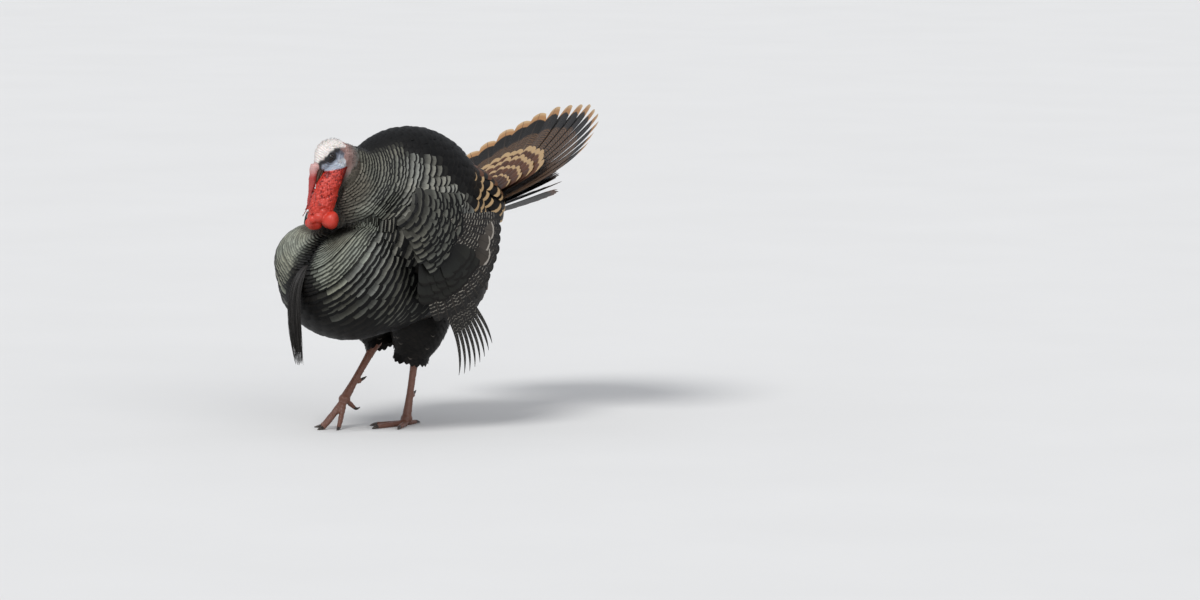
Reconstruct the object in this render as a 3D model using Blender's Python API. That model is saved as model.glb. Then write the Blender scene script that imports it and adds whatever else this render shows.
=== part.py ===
"""A strutting wild turkey tom, life size, as a still model.

Metres, +Z up. The bird faces -Y, its left side is +X and it stands on the floor z = 0. Every form is placed in the
bird's own coordinates, whose origin is under the middle of the trunk, and one empty moves them all so that the
world origin is under the middle of the whole bird, tail included.
"""

import math

import bpy
import numpy as np
from mathutils import Vector

GAP = 0.0003  # clearance between neighbouring solids
SIDES = {"left": 1.0, "right": -1.0}

# Driving dimensions of the bird
CENTRE = Vector((-0.0222, 0.1406, 0.0))  # the middle of the whole bird, tail included
EYE_HEIGHT = 0.573
TAIL_ROOT = Vector((0.0, 0.280, 0.442))
FAN_RADIUS = 0.325
SHANK_LENGTH = 0.158  # hock to the root of the toes
MIDDLE_TOE = 0.082


# ---------------------------------------------------------------- scene and meshes


def clear_scene():
    for old in list(bpy.data.objects):
        bpy.data.objects.remove(old)


def material(name, colour, roughness, metallic=0.0):
    made = bpy.data.materials.new(name)
    made.use_nodes = True
    shader = made.node_tree.nodes["Principled BSDF"]
    shader.inputs["Base Color"].default_value = (*colour, 1.0)
    shader.inputs["Roughness"].default_value = roughness
    shader.inputs["Metallic"].default_value = metallic
    return made


def triangles(faces):
    """Faces cut into triangles, the same way on each copy of a form, so that neighbours cut by it match it."""
    return [(face[0], face[i], face[i + 1]) for face in faces for i in range(1, len(face) - 1)]


def add_object(name, points, faces, finish, helper=False):
    """A mesh object in the bird's coordinates, hung on the empty that centres it."""
    mesh = bpy.data.meshes.new(name)
    mesh.from_pydata([tuple(point) for point in points], [], triangles(faces))
    mesh.validate()
    mesh.shade_smooth()
    mesh.set_sharp_from_angle(angle=math.radians(50))
    made = bpy.data.objects.new(name, mesh)
    bpy.context.scene.collection.objects.link(made)
    made.parent = bpy.data.objects["turkey"]
    if helper:
        made.hide_render = True
        made.display_type = "WIRE"
    else:
        mesh.materials.append(finish)
    return made


def combine(target, other, operation):
    step = target.modifiers.new(f"{operation.lower()} {other.name}", "BOOLEAN")
    step.operation = operation
    step.object = other
    step.solver = "EXACT"
    step.use_self = operation == "UNION"


def ring_faces(rings, sides):
    """Faces of a tube of rings, with a fan to a last point at each end (points 0 and -1)."""
    faces = [(0, 1 + (i + 1) % sides, 1 + i) for i in range(sides)]
    for ring in range(rings - 1):
        low = 1 + ring * sides
        for i in range(sides):
            j = (i + 1) % sides
            faces.append((low + i, low + j, low + sides + j, low + sides + i))
    last = 1 + (rings - 1) * sides
    faces += [(last + i, last + (i + 1) % sides, last + sides) for i in range(sides)]
    return faces


def bezier(points, t):
    """A point of the Bezier curve through these control points."""
    points = [Vector(point) for point in points]
    while len(points) > 1:
        points = [a.lerp(b, t) for a, b in zip(points, points[1:])]
    return points[0]


def loft(path, widths, depths, sides=16, rings=12, grow=0.0, side_axis=Vector((1, 0, 0)), ends=0.5):
    """Points and faces of a closed tube with elliptical sections along path(t), t from 0 to 1.

    widths(t) is half its size along side_axis, depths(t) half its size across that; the ends are domed by ends
    times the section's size. grow makes the same tube larger all round.
    """
    step = 0.01
    points = []
    for ring in range(rings):
        t = ring / (rings - 1)
        tangent = (path(min(t + step, 1.0)) - path(max(t - step, 0.0))).normalized()
        across = (side_axis - tangent * side_axis.dot(tangent)).normalized()
        deep = tangent.cross(across)
        width, depth = widths(t) + grow, depths(t) + grow
        if ring == 0:
            points.append(path(t) - tangent * (ends * min(width, depth) + grow))
        for i in range(sides):
            turn = 2 * math.pi * i / sides
            points.append(path(t) + across * (width * math.cos(turn)) + deep * (depth * math.sin(turn)))
        if ring == rings - 1:
            points.append(path(t) + tangent * (ends * min(width, depth) + grow))
    return points, ring_faces(rings, sides)


def spline(*values):
    """A smooth function of t from 0 to 1 through evenly spaced values."""
    knots = np.linspace(0.0, 1.0, len(values))

    def at(t):
        i = min(int(t * (len(values) - 1)), len(values) - 2)
        local = (t - knots[i]) / (knots[i + 1] - knots[i])
        before, after = max(i - 1, 0), min(i + 2, len(values) - 1)
        slope_a = (values[i + 1] - values[before]) / (i + 1 - before)
        slope_b = (values[after] - values[i]) / (after - i)
        a = 2 * local**3 - 3 * local**2 + 1
        b = local**3 - 2 * local**2 + local
        return a * values[i] + b * slope_a + (1 - a) * values[i + 1] + (local**3 - local**2) * slope_b

    return at


# ---------------------------------------------------------------- trunk

TRUNK_CORE = np.array((0.0, 0.02, 0.375))  # every point of the trunk is in sight of this one
BLEND = 7.0  # how tightly the forms below merge
TRUNK_FORMS = (  # (centre, half sizes) of the forms whose smooth union is the feathered trunk
    ((0.000, -0.100, 0.312), (0.152, 0.135, 0.120)),  # breast
    ((0.000, 0.068, 0.428), (0.140, 0.192, 0.196)),  # raised back
    ((0.000, 0.030, 0.300), (0.158, 0.180, 0.100)),  # belly
    ((0.000, 0.225, 0.450), (0.100, 0.080, 0.085)),  # rump
    ((0.000, 0.160, 0.315), (0.110, 0.100, 0.110)),  # vent
)
TRUNK_PAIRS = (  # the same, for the left one of a pair
    ((0.072, -0.126, 0.354), (0.078, 0.086, 0.074)),  # breast lobe
    ((0.104, 0.015, 0.415), (0.076, 0.120, 0.095)),  # shoulder
)
NECK_POLE = Vector((0.0, -0.62, 0.78)).normalized()  # where the rows of feathers start, seen from the core
CLEFT_DEPTH = 0.016
CLEFT_WIDTH = 0.015
CLEFT_HEIGHTS = (0.335, 0.455)
TRUNK_RINGS, TRUNK_SEGMENTS = 20, 28


def trunk_forms():
    for centre, half in TRUNK_FORMS:
        yield centre, half
    for centre, half in TRUNK_PAIRS:
        yield centre, half
        yield (-centre[0], centre[1], centre[2]), half


def trunk_radius(directions):
    """Distance from the core to the trunk's surface along each unit direction."""
    low = np.zeros(len(directions))
    high = np.full(len(directions), 0.6)
    for _ in range(26):
        middle = (low + high) / 2
        points = TRUNK_CORE + directions * middle[:, None]
        field = sum(
            np.exp(BLEND * (1 - (((points - centre) / half) ** 2).sum(axis=1))) for centre, half in trunk_forms()
        )
        low = np.where(field > 1, middle, low)
        high = np.where(field > 1, high, middle)
    points = TRUNK_CORE + directions * low[:, None]
    middle_height = sum(CLEFT_HEIGHTS) / 2
    reach = (CLEFT_HEIGHTS[1] - CLEFT_HEIGHTS[0]) / 2
    along = np.exp(-(((points[:, 2] - middle_height) / reach) ** 4))
    in_front = np.clip(-directions[:, 1] * 3, 0, 1)
    return low - CLEFT_DEPTH * np.exp(-((points[:, 0] / CLEFT_WIDTH) ** 2)) * along * in_front


def trunk_mesh(grow=0.0):
    side = Vector((1, 0, 0))
    front = side.cross(NECK_POLE)
    directions = [NECK_POLE]
    for ring in range(1, TRUNK_RINGS):
        polar = math.pi * ring / TRUNK_RINGS
        for i in range(TRUNK_SEGMENTS):
            turn = 2 * math.pi * i / TRUNK_SEGMENTS
            flat = side * math.cos(turn) - front * math.sin(turn)
            directions.append(NECK_POLE * math.cos(polar) + flat * math.sin(polar))
    directions.append(-NECK_POLE)
    directions = np.array([tuple(direction) for direction in directions])
    points = TRUNK_CORE + directions * (trunk_radius(directions) + grow)[:, None]
    faces = [face[::-1] for face in ring_faces(TRUNK_RINGS - 1, TRUNK_SEGMENTS)]
    return points, faces


# ---------------------------------------------------------------- head and neck

HEAD_MIDDLE = Vector((-0.003, -0.143, EYE_HEIGHT))  # between the eyes
HEAD_YAW = math.radians(-38)  # turned to the bird's right
HEAD_PITCH = math.radians(-58)  # bill pointing down
FORWARD = Vector(
    (
        math.cos(HEAD_PITCH) * math.sin(HEAD_YAW),
        -math.cos(HEAD_PITCH) * math.cos(HEAD_YAW),
        math.sin(HEAD_PITCH),
    )
)
HEAD_LEFT = Vector((math.cos(HEAD_YAW), math.sin(HEAD_YAW), 0.0))
CROWN = FORWARD.cross(HEAD_LEFT)
EYE_RADIUS = 0.0066
EYE_OUT = 0.0142  # from the middle plane of the head to the eye's centre


def on_head(forward, up, left=0.0):
    """A point given by its distances from the middle of the head, between the eyes."""
    return HEAD_MIDDLE + FORWARD * forward + CROWN * up + HEAD_LEFT * left


def head_mesh(grow=0.0):
    """From the back of the skull to the root of the bill."""

    def path(t):
        return on_head(-0.033 + 0.066 * t, rise(t))

    rise = spline(-0.0080, 0.0000, 0.0055, 0.0085, 0.0085)
    return loft(
        path,
        spline(0.0110, 0.0175, 0.0195, 0.0190, 0.0170, 0.0130, 0.0090),
        spline(0.0140, 0.0250, 0.0300, 0.0305, 0.0265, 0.0185, 0.0115),
        sides=14,
        rings=9,
        grow=grow,
        side_axis=HEAD_LEFT,
        ends=0.55,
    )


def neck_mesh(grow=0.0):
    """From behind the skull down into the feathers between the shoulders."""

    def path(t):
        return bezier(
            (on_head(-0.014, -0.016), (0, -0.066, 0.578), (0, -0.092, 0.480), (0, -0.080, 0.400)),
            t,
        )

    return loft(
        path,
        spline(0.0210, 0.0340, 0.0470, 0.0570, 0.0640, 0.0680),
        spline(0.0230, 0.0350, 0.0440, 0.0500, 0.0540, 0.0560),
        sides=12,
        rings=7,
        grow=grow,
    )


def bill_mesh(lower, grow=0.0):
    """One half of the bill, from the gape to the tip; the upper one is longer and hooks down."""
    root, length = 0.0290, 0.028 if lower else 0.036
    top, drop = (-0.0005, 0.0010) if lower else (0.0065, 0.0065)

    def path(t):
        return on_head(root + length * t, top - 0.0040 * t - drop * t * t)

    return loft(
        path,
        spline(0.0068, 0.0062, 0.0050, 0.0036, 0.0012),
        spline(0.0026, 0.0024, 0.0020, 0.0015, 0.0008)
        if lower
        else spline(0.0044, 0.0042, 0.0036, 0.0026, 0.0010),
        sides=8,
        rings=6,
        grow=grow,
        side_axis=HEAD_LEFT,
    )


def snood_mesh(grow=0.0):
    """The fleshy finger that hangs from the forehead over the bill."""
    root = on_head(0.033, 0.0180)

    def path(t):
        return bezier(
            (
                root,
                root + Vector((-0.006, -0.008, -0.014)),
                root + Vector((-0.005, -0.007, -0.060)),
                root + Vector((-0.006, -0.010, -0.084)),
                root + Vector((-0.014, -0.022, -0.104)),
            ),
            t,
        )

    return loft(
        path,
        spline(0.0072, 0.0066, 0.0062, 0.0054, 0.0044, 0.0030, 0.0014),
        spline(0.0064, 0.0060, 0.0056, 0.0048, 0.0040, 0.0026, 0.0012),
        sides=8,
        rings=10,
        grow=grow,
    )


THROAT_TOP = on_head(0.006, -0.0200)
WATTLE_BULBS = (  # (centre, radius) of the large caruncles that rest on the breast
    ((0.021, -0.166, 0.444), 0.0180),
    ((-0.012, -0.180, 0.436), 0.0155),
    ((-0.030, -0.170, 0.449), 0.0135),
)


def throat_mesh(grow=0.0):
    def path(t):
        return bezier((THROAT_TOP, (0, -0.156, 0.500), (-0.002, -0.170, 0.452)), t)

    return loft(
        path,
        spline(0.0190, 0.0235, 0.0255, 0.0270, 0.0250),
        spline(0.0150, 0.0205, 0.0235, 0.0240, 0.0200),
        sides=10,
        rings=7,
        grow=grow,
    )


def ball_mesh(centre, radius, sides=9, rings=6):
    points = [Vector(centre) + Vector((0, 0, -radius))]
    for ring in range(1, rings):
        polar = math.pi * ring / rings
        for i in range(sides):
            turn = 2 * math.pi * i / sides
            flat = Vector((math.cos(turn), math.sin(turn), 0)) * (radius * math.sin(polar))
            points.append(Vector(centre) + flat - Vector((0, 0, radius * math.cos(polar))))
    points.append(Vector(centre) + Vector((0, 0, radius)))
    return points, ring_faces(rings - 1, sides)


def eye_centre(side):
    return on_head(0.0, 0.0, side * EYE_OUT)


def beard_mesh(grow=0.0):
    """The tuft of bristles that hangs from the middle of the breast."""

    def path(t):
        return bezier(((0, -0.236, 0.350), (0, -0.262, 0.310), (0, -0.248, 0.230), (0, -0.236, 0.148)), t)

    return loft(
        path,
        spline(0.0060, 0.0085, 0.0110, 0.0130, 0.0135, 0.0105, 0.0030),
        spline(0.0045, 0.0055, 0.0065, 0.0075, 0.0080, 0.0060, 0.0020),
        sides=10,
        rings=7,
        grow=grow,
    )


# ---------------------------------------------------------------- feather fans


def fan_mesh(place, feathers, radius, root, spread, notch, thickness, relief, per_feather=8, rings=7):
    """A closed sheet of overlapping feathers that spread from one root, its outer edge notched between the tips.

    place(angle, distance, height) gives the point at that angle and distance from the root, raised off the sheet.
    spread holds the first and last angle; notch(distance across the feather, 0 to 1) shortens the edge.
    """
    columns = feathers * per_feather
    upper, lower = [], []
    for column in range(columns + 1):
        share = column / columns
        across = (share * feathers) % 1.0 if column < columns else 1.0
        angle = spread[0] + (spread[1] - spread[0]) * share
        reach = radius(share) * (1 - notch(across))
        for ring in range(rings + 1):
            distance = root + (reach - root) * ring / rings
            height = relief * (0.5 - across) * ring / rings
            upper.append(place(angle, distance, height + thickness / 2))
            lower.append(place(angle, distance, height - thickness / 2))
    row = rings + 1
    below = len(upper)
    faces = []
    for column in range(columns):
        for ring in range(rings):
            a = column * row + ring
            faces.append((a, a + 1, a + row + 1, a + row))
            faces.append((below + a, below + a + row, below + a + row + 1, below + a + 1))
    edge = list(range(row)) + [column * row + rings for column in range(1, columns + 1)]
    edge += [columns * row + ring for ring in range(rings - 1, -1, -1)]
    edge += [column * row for column in range(columns - 1, 0, -1)]
    for i, a in enumerate(edge):
        b = edge[(i + 1) % len(edge)]
        faces.append((b, a, below + a, below + b))
    return upper + lower, faces


def rounded_notch(depth):
    """How much shorter a feather is away from its middle, as a share of its length."""
    return lambda across: depth * abs(2 * across - 1) ** 2.5


# ---------------------------------------------------------------- tail

FAN_RAISE = math.radians(33)  # of the middle tail feathers above the level
FAN_ROLL = math.radians(17)  # the fan leans to the bird's right
FAN_DISH = 0.10  # how far the fan's tips bend up, as a share of its radius


def tail_place(raise_angle, lift):
    """Places a fan on the tail: angle 0 is its middle, lift moves it along its own normal."""
    middle = Vector((0, math.cos(raise_angle), math.sin(raise_angle)))
    side = Vector((math.cos(FAN_ROLL), 0, math.sin(FAN_ROLL)))
    middle = (middle - side * middle.dot(side)).normalized()
    normal = side.cross(middle)

    def place(angle, distance, height):
        flat = middle * math.cos(angle) + side * math.sin(angle)
        bend = FAN_DISH * (distance / FAN_RADIUS) ** 2 * distance
        return TAIL_ROOT + flat * distance + normal * (lift + height + bend)

    return place


def tail_fans(finishes):
    """The eighteen tail feathers, and the coverts above and below their roots."""
    rows = (
        ("tail_fan", 18, FAN_RADIUS, 0.030, 74, FAN_RAISE, 0.0, 0.0016, 0.0030, "barred"),
        ("tail_coverts_upper", 9, 0.175, 0.028, 62, FAN_RAISE + 0.10, 0.0075, 0.0040, 0.0030, "chestnut"),
        ("tail_coverts_under", 8, 0.170, 0.028, 58, FAN_RAISE - 0.50, -0.0140, 0.0090, 0.0030, "black"),
    )
    for name, feathers, radius, root, half, raised, lift, thickness, relief, finish in rows:
        spread = (-math.radians(half), math.radians(half))
        points, faces = fan_mesh(
            tail_place(raised, lift),
            feathers,
            lambda share, full=radius: full * (1 - 0.05 * (2 * share - 1) ** 2),
            root,
            spread,
            rounded_notch(0.055),
            thickness,
            relief,
            per_feather=3,
            rings=2,
        )
        fan = add_object(name, points, faces, finishes[finish])
        combine(fan, bpy.data.objects["cut_trunk"], "DIFFERENCE")


# ---------------------------------------------------------------- wings

WING_LIFTS = {"left": 0, "right": 14}  # degrees that each wing is held above the drooped one
WING_BACKS = {"left": 0.012, "right": 0.040}  # how far back each wing sits
WING_CORE = Vector((0.0, 0.030, 0.330))
WING_HALF = Vector((0.200, 0.380, 0.310))  # the shell that the drooped wing follows


def wing_place(side, root_y, root_z, out):
    """Places a fan on the side of the bird: angle 0 points back, negative angles point down."""

    def place(angle, distance, height):
        y = root_y + distance * math.cos(angle)
        z = root_z + distance * math.sin(angle)
        inside = 1 - ((y - WING_CORE.y) / WING_HALF.y) ** 2 - ((z - WING_CORE.z) / WING_HALF.z) ** 2
        x = WING_HALF.x * math.sqrt(max(inside, 0.05)) + out + height
        return Vector((side * x, y, z))

    return place


def wings(finishes):
    rows = (
        # name, root (y, z), out, feathers, radius, root length, spread in degrees, notch, thickness, finish
        ("primaries", (-0.110, 0.398), -0.0060, 7, 0.358, 0.100, (-52, -38), 0.34, 0.0020, "flight"),
        ("secondaries", (-0.075, 0.465), -0.0010, 10, 0.235, 0.060, (-80, -10), 0.06, 0.0026, "flight"),
        ("wing", (-0.080, 0.470), 0.0070, 8, 0.170, 0.012, (-84, -2), 0.05, 0.0100, "bronze"),
    )
    for side_name, side in SIDES.items():
        for name, (root_y, root_z), out, feathers, radius, root, degrees, notch, thickness, finish in rows:
            spread = [math.radians(angle + WING_LIFTS[side_name]) for angle in degrees]
            points, faces = fan_mesh(
                wing_place(side, root_y + WING_BACKS[side_name], root_z, out),
                feathers,
                lambda share, full=radius: full,
                root,
                spread,
                rounded_notch(notch),
                thickness,
                0.0010,
                per_feather=4 if name == "primaries" else 3,
                rings=2,
            )
            if side > 0:
                faces = [face[::-1] for face in faces]
            made = add_object(f"{name}_{side_name}", points, faces, finishes[finish])
            combine(made, bpy.data.objects["cut_trunk"], "DIFFERENCE")


# ---------------------------------------------------------------- legs

TOE_ROOTS = {"left": Vector((0.010, 0.055, 0.015)), "right": Vector((-0.058, -0.058, 0.060))}
SHANK_LEANS = {"left": Vector((0.025, 0.196, 0.980)), "right": Vector((-0.024, 0.707, 0.707))}
HOCKS = {side: root + SHANK_LEANS[side].normalized() * SHANK_LENGTH for side, root in TOE_ROOTS.items()}
TOES = (  # (name, heading off straight ahead towards the outside in degrees, length, radius)
    ("inner", -32, 0.76 * MIDDLE_TOE, 0.0064),
    ("middle", 0, MIDDLE_TOE, 0.0072),
    ("outer", 34, 0.80 * MIDDLE_TOE, 0.0064),
    ("hind", 190, 0.38 * MIDDLE_TOE, 0.0062),
)
ANKLE = 0.0135  # where the shank ends above the root of the toes
TOE_LEVEL = 0.0042  # height of a toe's middle line over the floor
CLAW_LENGTH = 0.016
CLAW_TIP = 0.0015  # height of a claw's tip over the floor
THIGH_HANG = {"left": Vector((-0.002, -0.016, -0.020)), "right": Vector((0.004, -0.006, 0.004))}
STEP_REACH = 0.74  # level reach of the sloping toes of the stepping foot, as a share of their length


def thigh_mesh(side_name, grow=0.0):
    hock = HOCKS[side_name]
    out = SIDES[side_name]
    top = hock + Vector((out * 0.042, -0.020, 0.120))
    low = hock + THIGH_HANG[side_name]

    def path(t):
        return bezier((top, top.lerp(low, 0.5) + Vector((0, 0.006, 0)), low), t)

    return loft(
        path,
        spline(0.050, 0.056, 0.058, 0.050, 0.0330),
        spline(0.062, 0.066, 0.066, 0.056, 0.0400),
        sides=12,
        rings=7,
        grow=grow,
        ends=0.25,
    )


def shank_mesh(side_name, grow=0.0):
    hock, root = HOCKS[side_name], TOE_ROOTS[side_name]
    start = hock + Vector((0, 0, 0.0075))
    end = root + (hock - root).normalized() * ANKLE

    def path(t):
        return start.lerp(end, t)

    return loft(
        path,
        spline(0.0105, 0.0095, 0.0075, 0.0068, 0.0068, 0.0075, 0.0090),
        spline(0.0125, 0.0110, 0.0088, 0.0080, 0.0080, 0.0085, 0.0095),
        sides=10,
        rings=8,
        grow=grow,
        ends=0.0,
    )


def toe_path(side_name, heading, length, level):
    """The middle line of a toe: the standing foot lies flat, the stepping one slopes down to its toe tips."""
    side, root = SIDES[side_name], TOE_ROOTS[side_name]
    ahead = Vector((side * math.sin(math.radians(heading)), -math.cos(math.radians(heading)), 0.0))
    lying = side_name == "left"

    def path(t):
        point = root + ahead * (length * t * (1.0 if lying else STEP_REACH))
        if lying:
            point.z = level + (root.z - level) * max(0.0, 1 - 3.5 * t) ** 2
        elif heading < 90:
            point.z = level + (root.z - level) * (1 - t) ** 1.15
        else:
            point.z = root.z - 0.020 * t
        return point

    return path


def toe_mesh(side_name, heading, length, radius):
    path = toe_path(side_name, heading, length, TOE_LEVEL)

    def width(t):
        return radius * (1.12 - 0.38 * t) * (1 + 0.07 * math.cos(6 * math.pi * t))

    return loft(path, width, lambda t: width(t) * 0.92, sides=7, rings=5, ends=0.6)


def claw_mesh(side_name, heading, length, radius):
    path = toe_path(side_name, heading, length, TOE_LEVEL)
    tip = path(1.0)
    along = (path(1.0) - path(0.9)).normalized()
    start = tip + along * (0.45 * radius + GAP)
    flat = Vector((along.x, along.y, 0)).normalized()

    def claw_path(t):
        point = bezier((start, start + along * (CLAW_LENGTH * 0.5), start + flat * CLAW_LENGTH * 0.9), t)
        if heading < 90 or side_name == "left":
            point.z = start.z + (CLAW_TIP - start.z) * t * t
        return point

    return loft(
        claw_path,
        spline(0.0032, 0.0028, 0.0020, 0.0008),
        spline(0.0036, 0.0032, 0.0024, 0.0009),
        sides=6,
        rings=4,
        ends=0.2,
    )


def foot(side_name, finish, horn):
    """Four toes grown together at the end of the shank, and their claws."""
    hock, root = HOCKS[side_name], TOE_ROOTS[side_name]
    upward = (hock - root).normalized()
    points, faces = loft(
        lambda t: root + upward * (ANKLE - GAP) * (1 - t),
        spline(0.0090, 0.0100, 0.0108),
        spline(0.0095, 0.0105, 0.0112),
        sides=10,
        rings=3,
        ends=0.0,
    )
    made = add_object(f"foot_{side_name}", points, faces, finish)
    for name, heading, length, radius in TOES:
        points, faces = toe_mesh(side_name, heading, length, radius)
        toe = add_object(f"toe_{name}_{side_name}", points, faces, finish, helper=True)
        combine(made, toe, "UNION")
        points, faces = claw_mesh(side_name, heading, length, radius)
        claw = add_object(f"claw_{name}_{side_name}", points, faces, horn)
        combine(claw, toe, "DIFFERENCE")
        combine(claw, bpy.data.objects["cut_floor"], "DIFFERENCE")
    combine(made, bpy.data.objects["cut_floor"], "DIFFERENCE")


def spur_mesh(side_name):
    """The horn cone on the inner back of the shank."""
    hock, root = HOCKS[side_name], TOE_ROOTS[side_name]
    inward = Vector((-SIDES[side_name] * 0.30, 1.0, 0.15)).normalized()
    start = root.lerp(hock, 0.30) + inward * 0.006
    return loft(
        lambda t: start + inward * (0.019 * t) + Vector((0, 0, 0.005 * t * t)),
        spline(0.0044, 0.0038, 0.0026, 0.0008),
        spline(0.0046, 0.0040, 0.0028, 0.0008),
        sides=8,
        rings=4,
        ends=0.1,
    )


# ---------------------------------------------------------------- the bird


def build_helpers(finish):
    """Slightly larger copies of the big forms, which cut their neighbours back to a gap."""
    helpers = {"trunk": trunk_mesh, "neck": neck_mesh, "head": head_mesh}
    for name, shape in helpers.items():
        points, faces = shape(grow=GAP)
        add_object(f"cut_{name}", points, faces, finish, helper=True)
    half, depth = 0.5, 0.1
    corners = [(x, y, z) for z in (-depth, 0.0) for x, y in ((-half, -half), (half, -half), (half, half), (-half, half))]
    sides = [(i, (i + 1) % 4, 4 + (i + 1) % 4, 4 + i) for i in range(4)]
    add_object("cut_floor", corners, [(3, 2, 1, 0), (4, 5, 6, 7), *sides], finish, helper=True)


def build():
    clear_scene()
    centred = bpy.data.objects.new("turkey", None)
    centred.location = -CENTRE
    bpy.context.scene.collection.objects.link(centred)
    finishes = {
        "bronze": material("bronze feathers", (0.10, 0.10, 0.085), 0.45),
        "black": material("black feathers", (0.006, 0.006, 0.006), 0.5),
        "flight": material("flight feathers", (0.10, 0.09, 0.075), 0.6),
        "barred": material("tail feathers", (0.10, 0.065, 0.035), 0.6),
        "chestnut": material("chestnut coverts", (0.14, 0.065, 0.035), 0.6),
        "skin": material("pale head skin", (0.70, 0.64, 0.62), 0.55),
        "wattle": material("red wattle skin", (0.48, 0.03, 0.03), 0.4),
        "leg": material("leg scales", (0.15, 0.065, 0.045), 0.5),
        "horn": material("dark horn", (0.05, 0.035, 0.025), 0.4),
        "bill": material("bill horn", (0.20, 0.14, 0.09), 0.4),
        "eye": material("eye", (0.012, 0.008, 0.006), 0.05),
    }
    build_helpers(finishes["skin"])
    cutters = bpy.data.objects

    add_object("trunk", *trunk_mesh(), finishes["bronze"])

    neck = add_object("neck", *neck_mesh(), finishes["bronze"])
    combine(neck, cutters["cut_trunk"], "DIFFERENCE")
    combine(neck, cutters["cut_head"], "DIFFERENCE")

    head = add_object("head", *head_mesh(), finishes["skin"])
    for side_name, side in SIDES.items():
        socket = ball_mesh(eye_centre(side), EYE_RADIUS + GAP)
        combine(head, add_object(f"cut_socket_{side_name}", *socket, None, helper=True), "DIFFERENCE")
        add_object(f"eye_{side_name}", *ball_mesh(eye_centre(side), EYE_RADIUS), finishes["eye"])

    for name, lower in (("bill_upper", False), ("bill_lower", True)):
        combine(add_object(name, *bill_mesh(lower), finishes["bill"]), cutters["cut_head"], "DIFFERENCE")
    cut_upper = add_object("cut_bill_upper", *bill_mesh(False, grow=GAP), None, helper=True)
    cut_lower = add_object("cut_bill_lower", *bill_mesh(True, grow=GAP), None, helper=True)
    combine(cutters["bill_lower"], cut_upper, "DIFFERENCE")

    snood = add_object("snood", *snood_mesh(), finishes["wattle"])
    combine(snood, cutters["cut_head"], "DIFFERENCE")

    wattle = add_object("wattle", *throat_mesh(), finishes["wattle"])
    for number, (centre, radius) in enumerate(WATTLE_BULBS):
        bulb = add_object(f"bulb_{number}", *ball_mesh(centre, radius), None, helper=True)
        combine(wattle, bulb, "UNION")
    for name in ("head", "neck", "trunk"):
        combine(wattle, cutters[f"cut_{name}"], "DIFFERENCE")
    combine(wattle, cut_upper, "DIFFERENCE")
    combine(wattle, cut_lower, "DIFFERENCE")

    combine(add_object("beard", *beard_mesh(), finishes["black"]), cutters["cut_trunk"], "DIFFERENCE")

    tail_fans(finishes)
    wings(finishes)
    for side_name in SIDES:
        thigh = add_object(f"thigh_{side_name}", *thigh_mesh(side_name), finishes["black"])
        combine(thigh, cutters["cut_trunk"], "DIFFERENCE")
        if side_name == "right":
            combine(thigh, cutters["cut_thigh_left"], "DIFFERENCE")
        shank = add_object(f"shank_{side_name}", *shank_mesh(side_name), finishes["leg"])
        combine(shank, cutters["cut_trunk"], "DIFFERENCE")
        cut_thigh = add_object(f"cut_thigh_{side_name}", *thigh_mesh(side_name, grow=GAP), None, helper=True)
        combine(shank, cut_thigh, "DIFFERENCE")
        foot(side_name, finishes["leg"], finishes["horn"])
        cut_shank = add_object(f"cut_shank_{side_name}", *shank_mesh(side_name, grow=GAP), None, helper=True)
        combine(cutters[f"foot_{side_name}"], cut_shank, "DIFFERENCE")
        spur = add_object(f"spur_{side_name}", *spur_mesh(side_name), finishes["horn"])
        combine(spur, cut_shank, "DIFFERENCE")


build()
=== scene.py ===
"""The looks of the strutting wild turkey: skin, feathers, horn, eyes, floor, light and camera.

Forms are computed in the bird's own coordinates, those of the CAD source: metres, facing -Y, left side +X,
the floor at z = 0 and the origin under the middle of the trunk. Each mesh is moved by -CENTRE as it is made,
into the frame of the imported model. Every feather is a curved vane; the vanes of one region are one mesh.
"""

import math

import bpy
import numpy as np
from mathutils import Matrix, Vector


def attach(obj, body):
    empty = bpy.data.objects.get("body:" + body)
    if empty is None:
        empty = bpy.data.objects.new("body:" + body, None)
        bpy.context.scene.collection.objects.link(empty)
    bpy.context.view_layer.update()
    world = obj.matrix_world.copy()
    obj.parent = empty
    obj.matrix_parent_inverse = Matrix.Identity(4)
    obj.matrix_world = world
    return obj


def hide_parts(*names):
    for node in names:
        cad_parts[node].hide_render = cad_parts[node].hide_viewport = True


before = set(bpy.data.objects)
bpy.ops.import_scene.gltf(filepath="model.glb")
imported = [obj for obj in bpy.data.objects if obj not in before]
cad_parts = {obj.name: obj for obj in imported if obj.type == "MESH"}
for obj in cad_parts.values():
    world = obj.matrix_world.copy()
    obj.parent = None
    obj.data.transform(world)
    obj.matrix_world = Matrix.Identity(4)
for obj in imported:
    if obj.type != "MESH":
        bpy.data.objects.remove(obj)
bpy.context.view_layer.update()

CENTRE = np.array((-0.0222, 0.1406, 0.0))  # the middle of the whole bird
SIDES = {"left": 1.0, "right": -1.0}
TURN = 2 * math.pi
STEP = 0.01  # the small change of a curve's parameter that gives its direction


# ---------------------------------------------------------------- numbers


def smooth(low, high, value):
    """0 below low, 1 above high, with a smooth step between; it falls where high is less than low."""
    share = np.clip((np.asarray(value, float) - low) / (high - low), 0.0, 1.0)
    return share * share * (3 - 2 * share)


def unit(vectors):
    vectors = np.asarray(vectors, float)
    return vectors / np.maximum(np.linalg.norm(vectors, axis=-1, keepdims=True), 1e-9)


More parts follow.
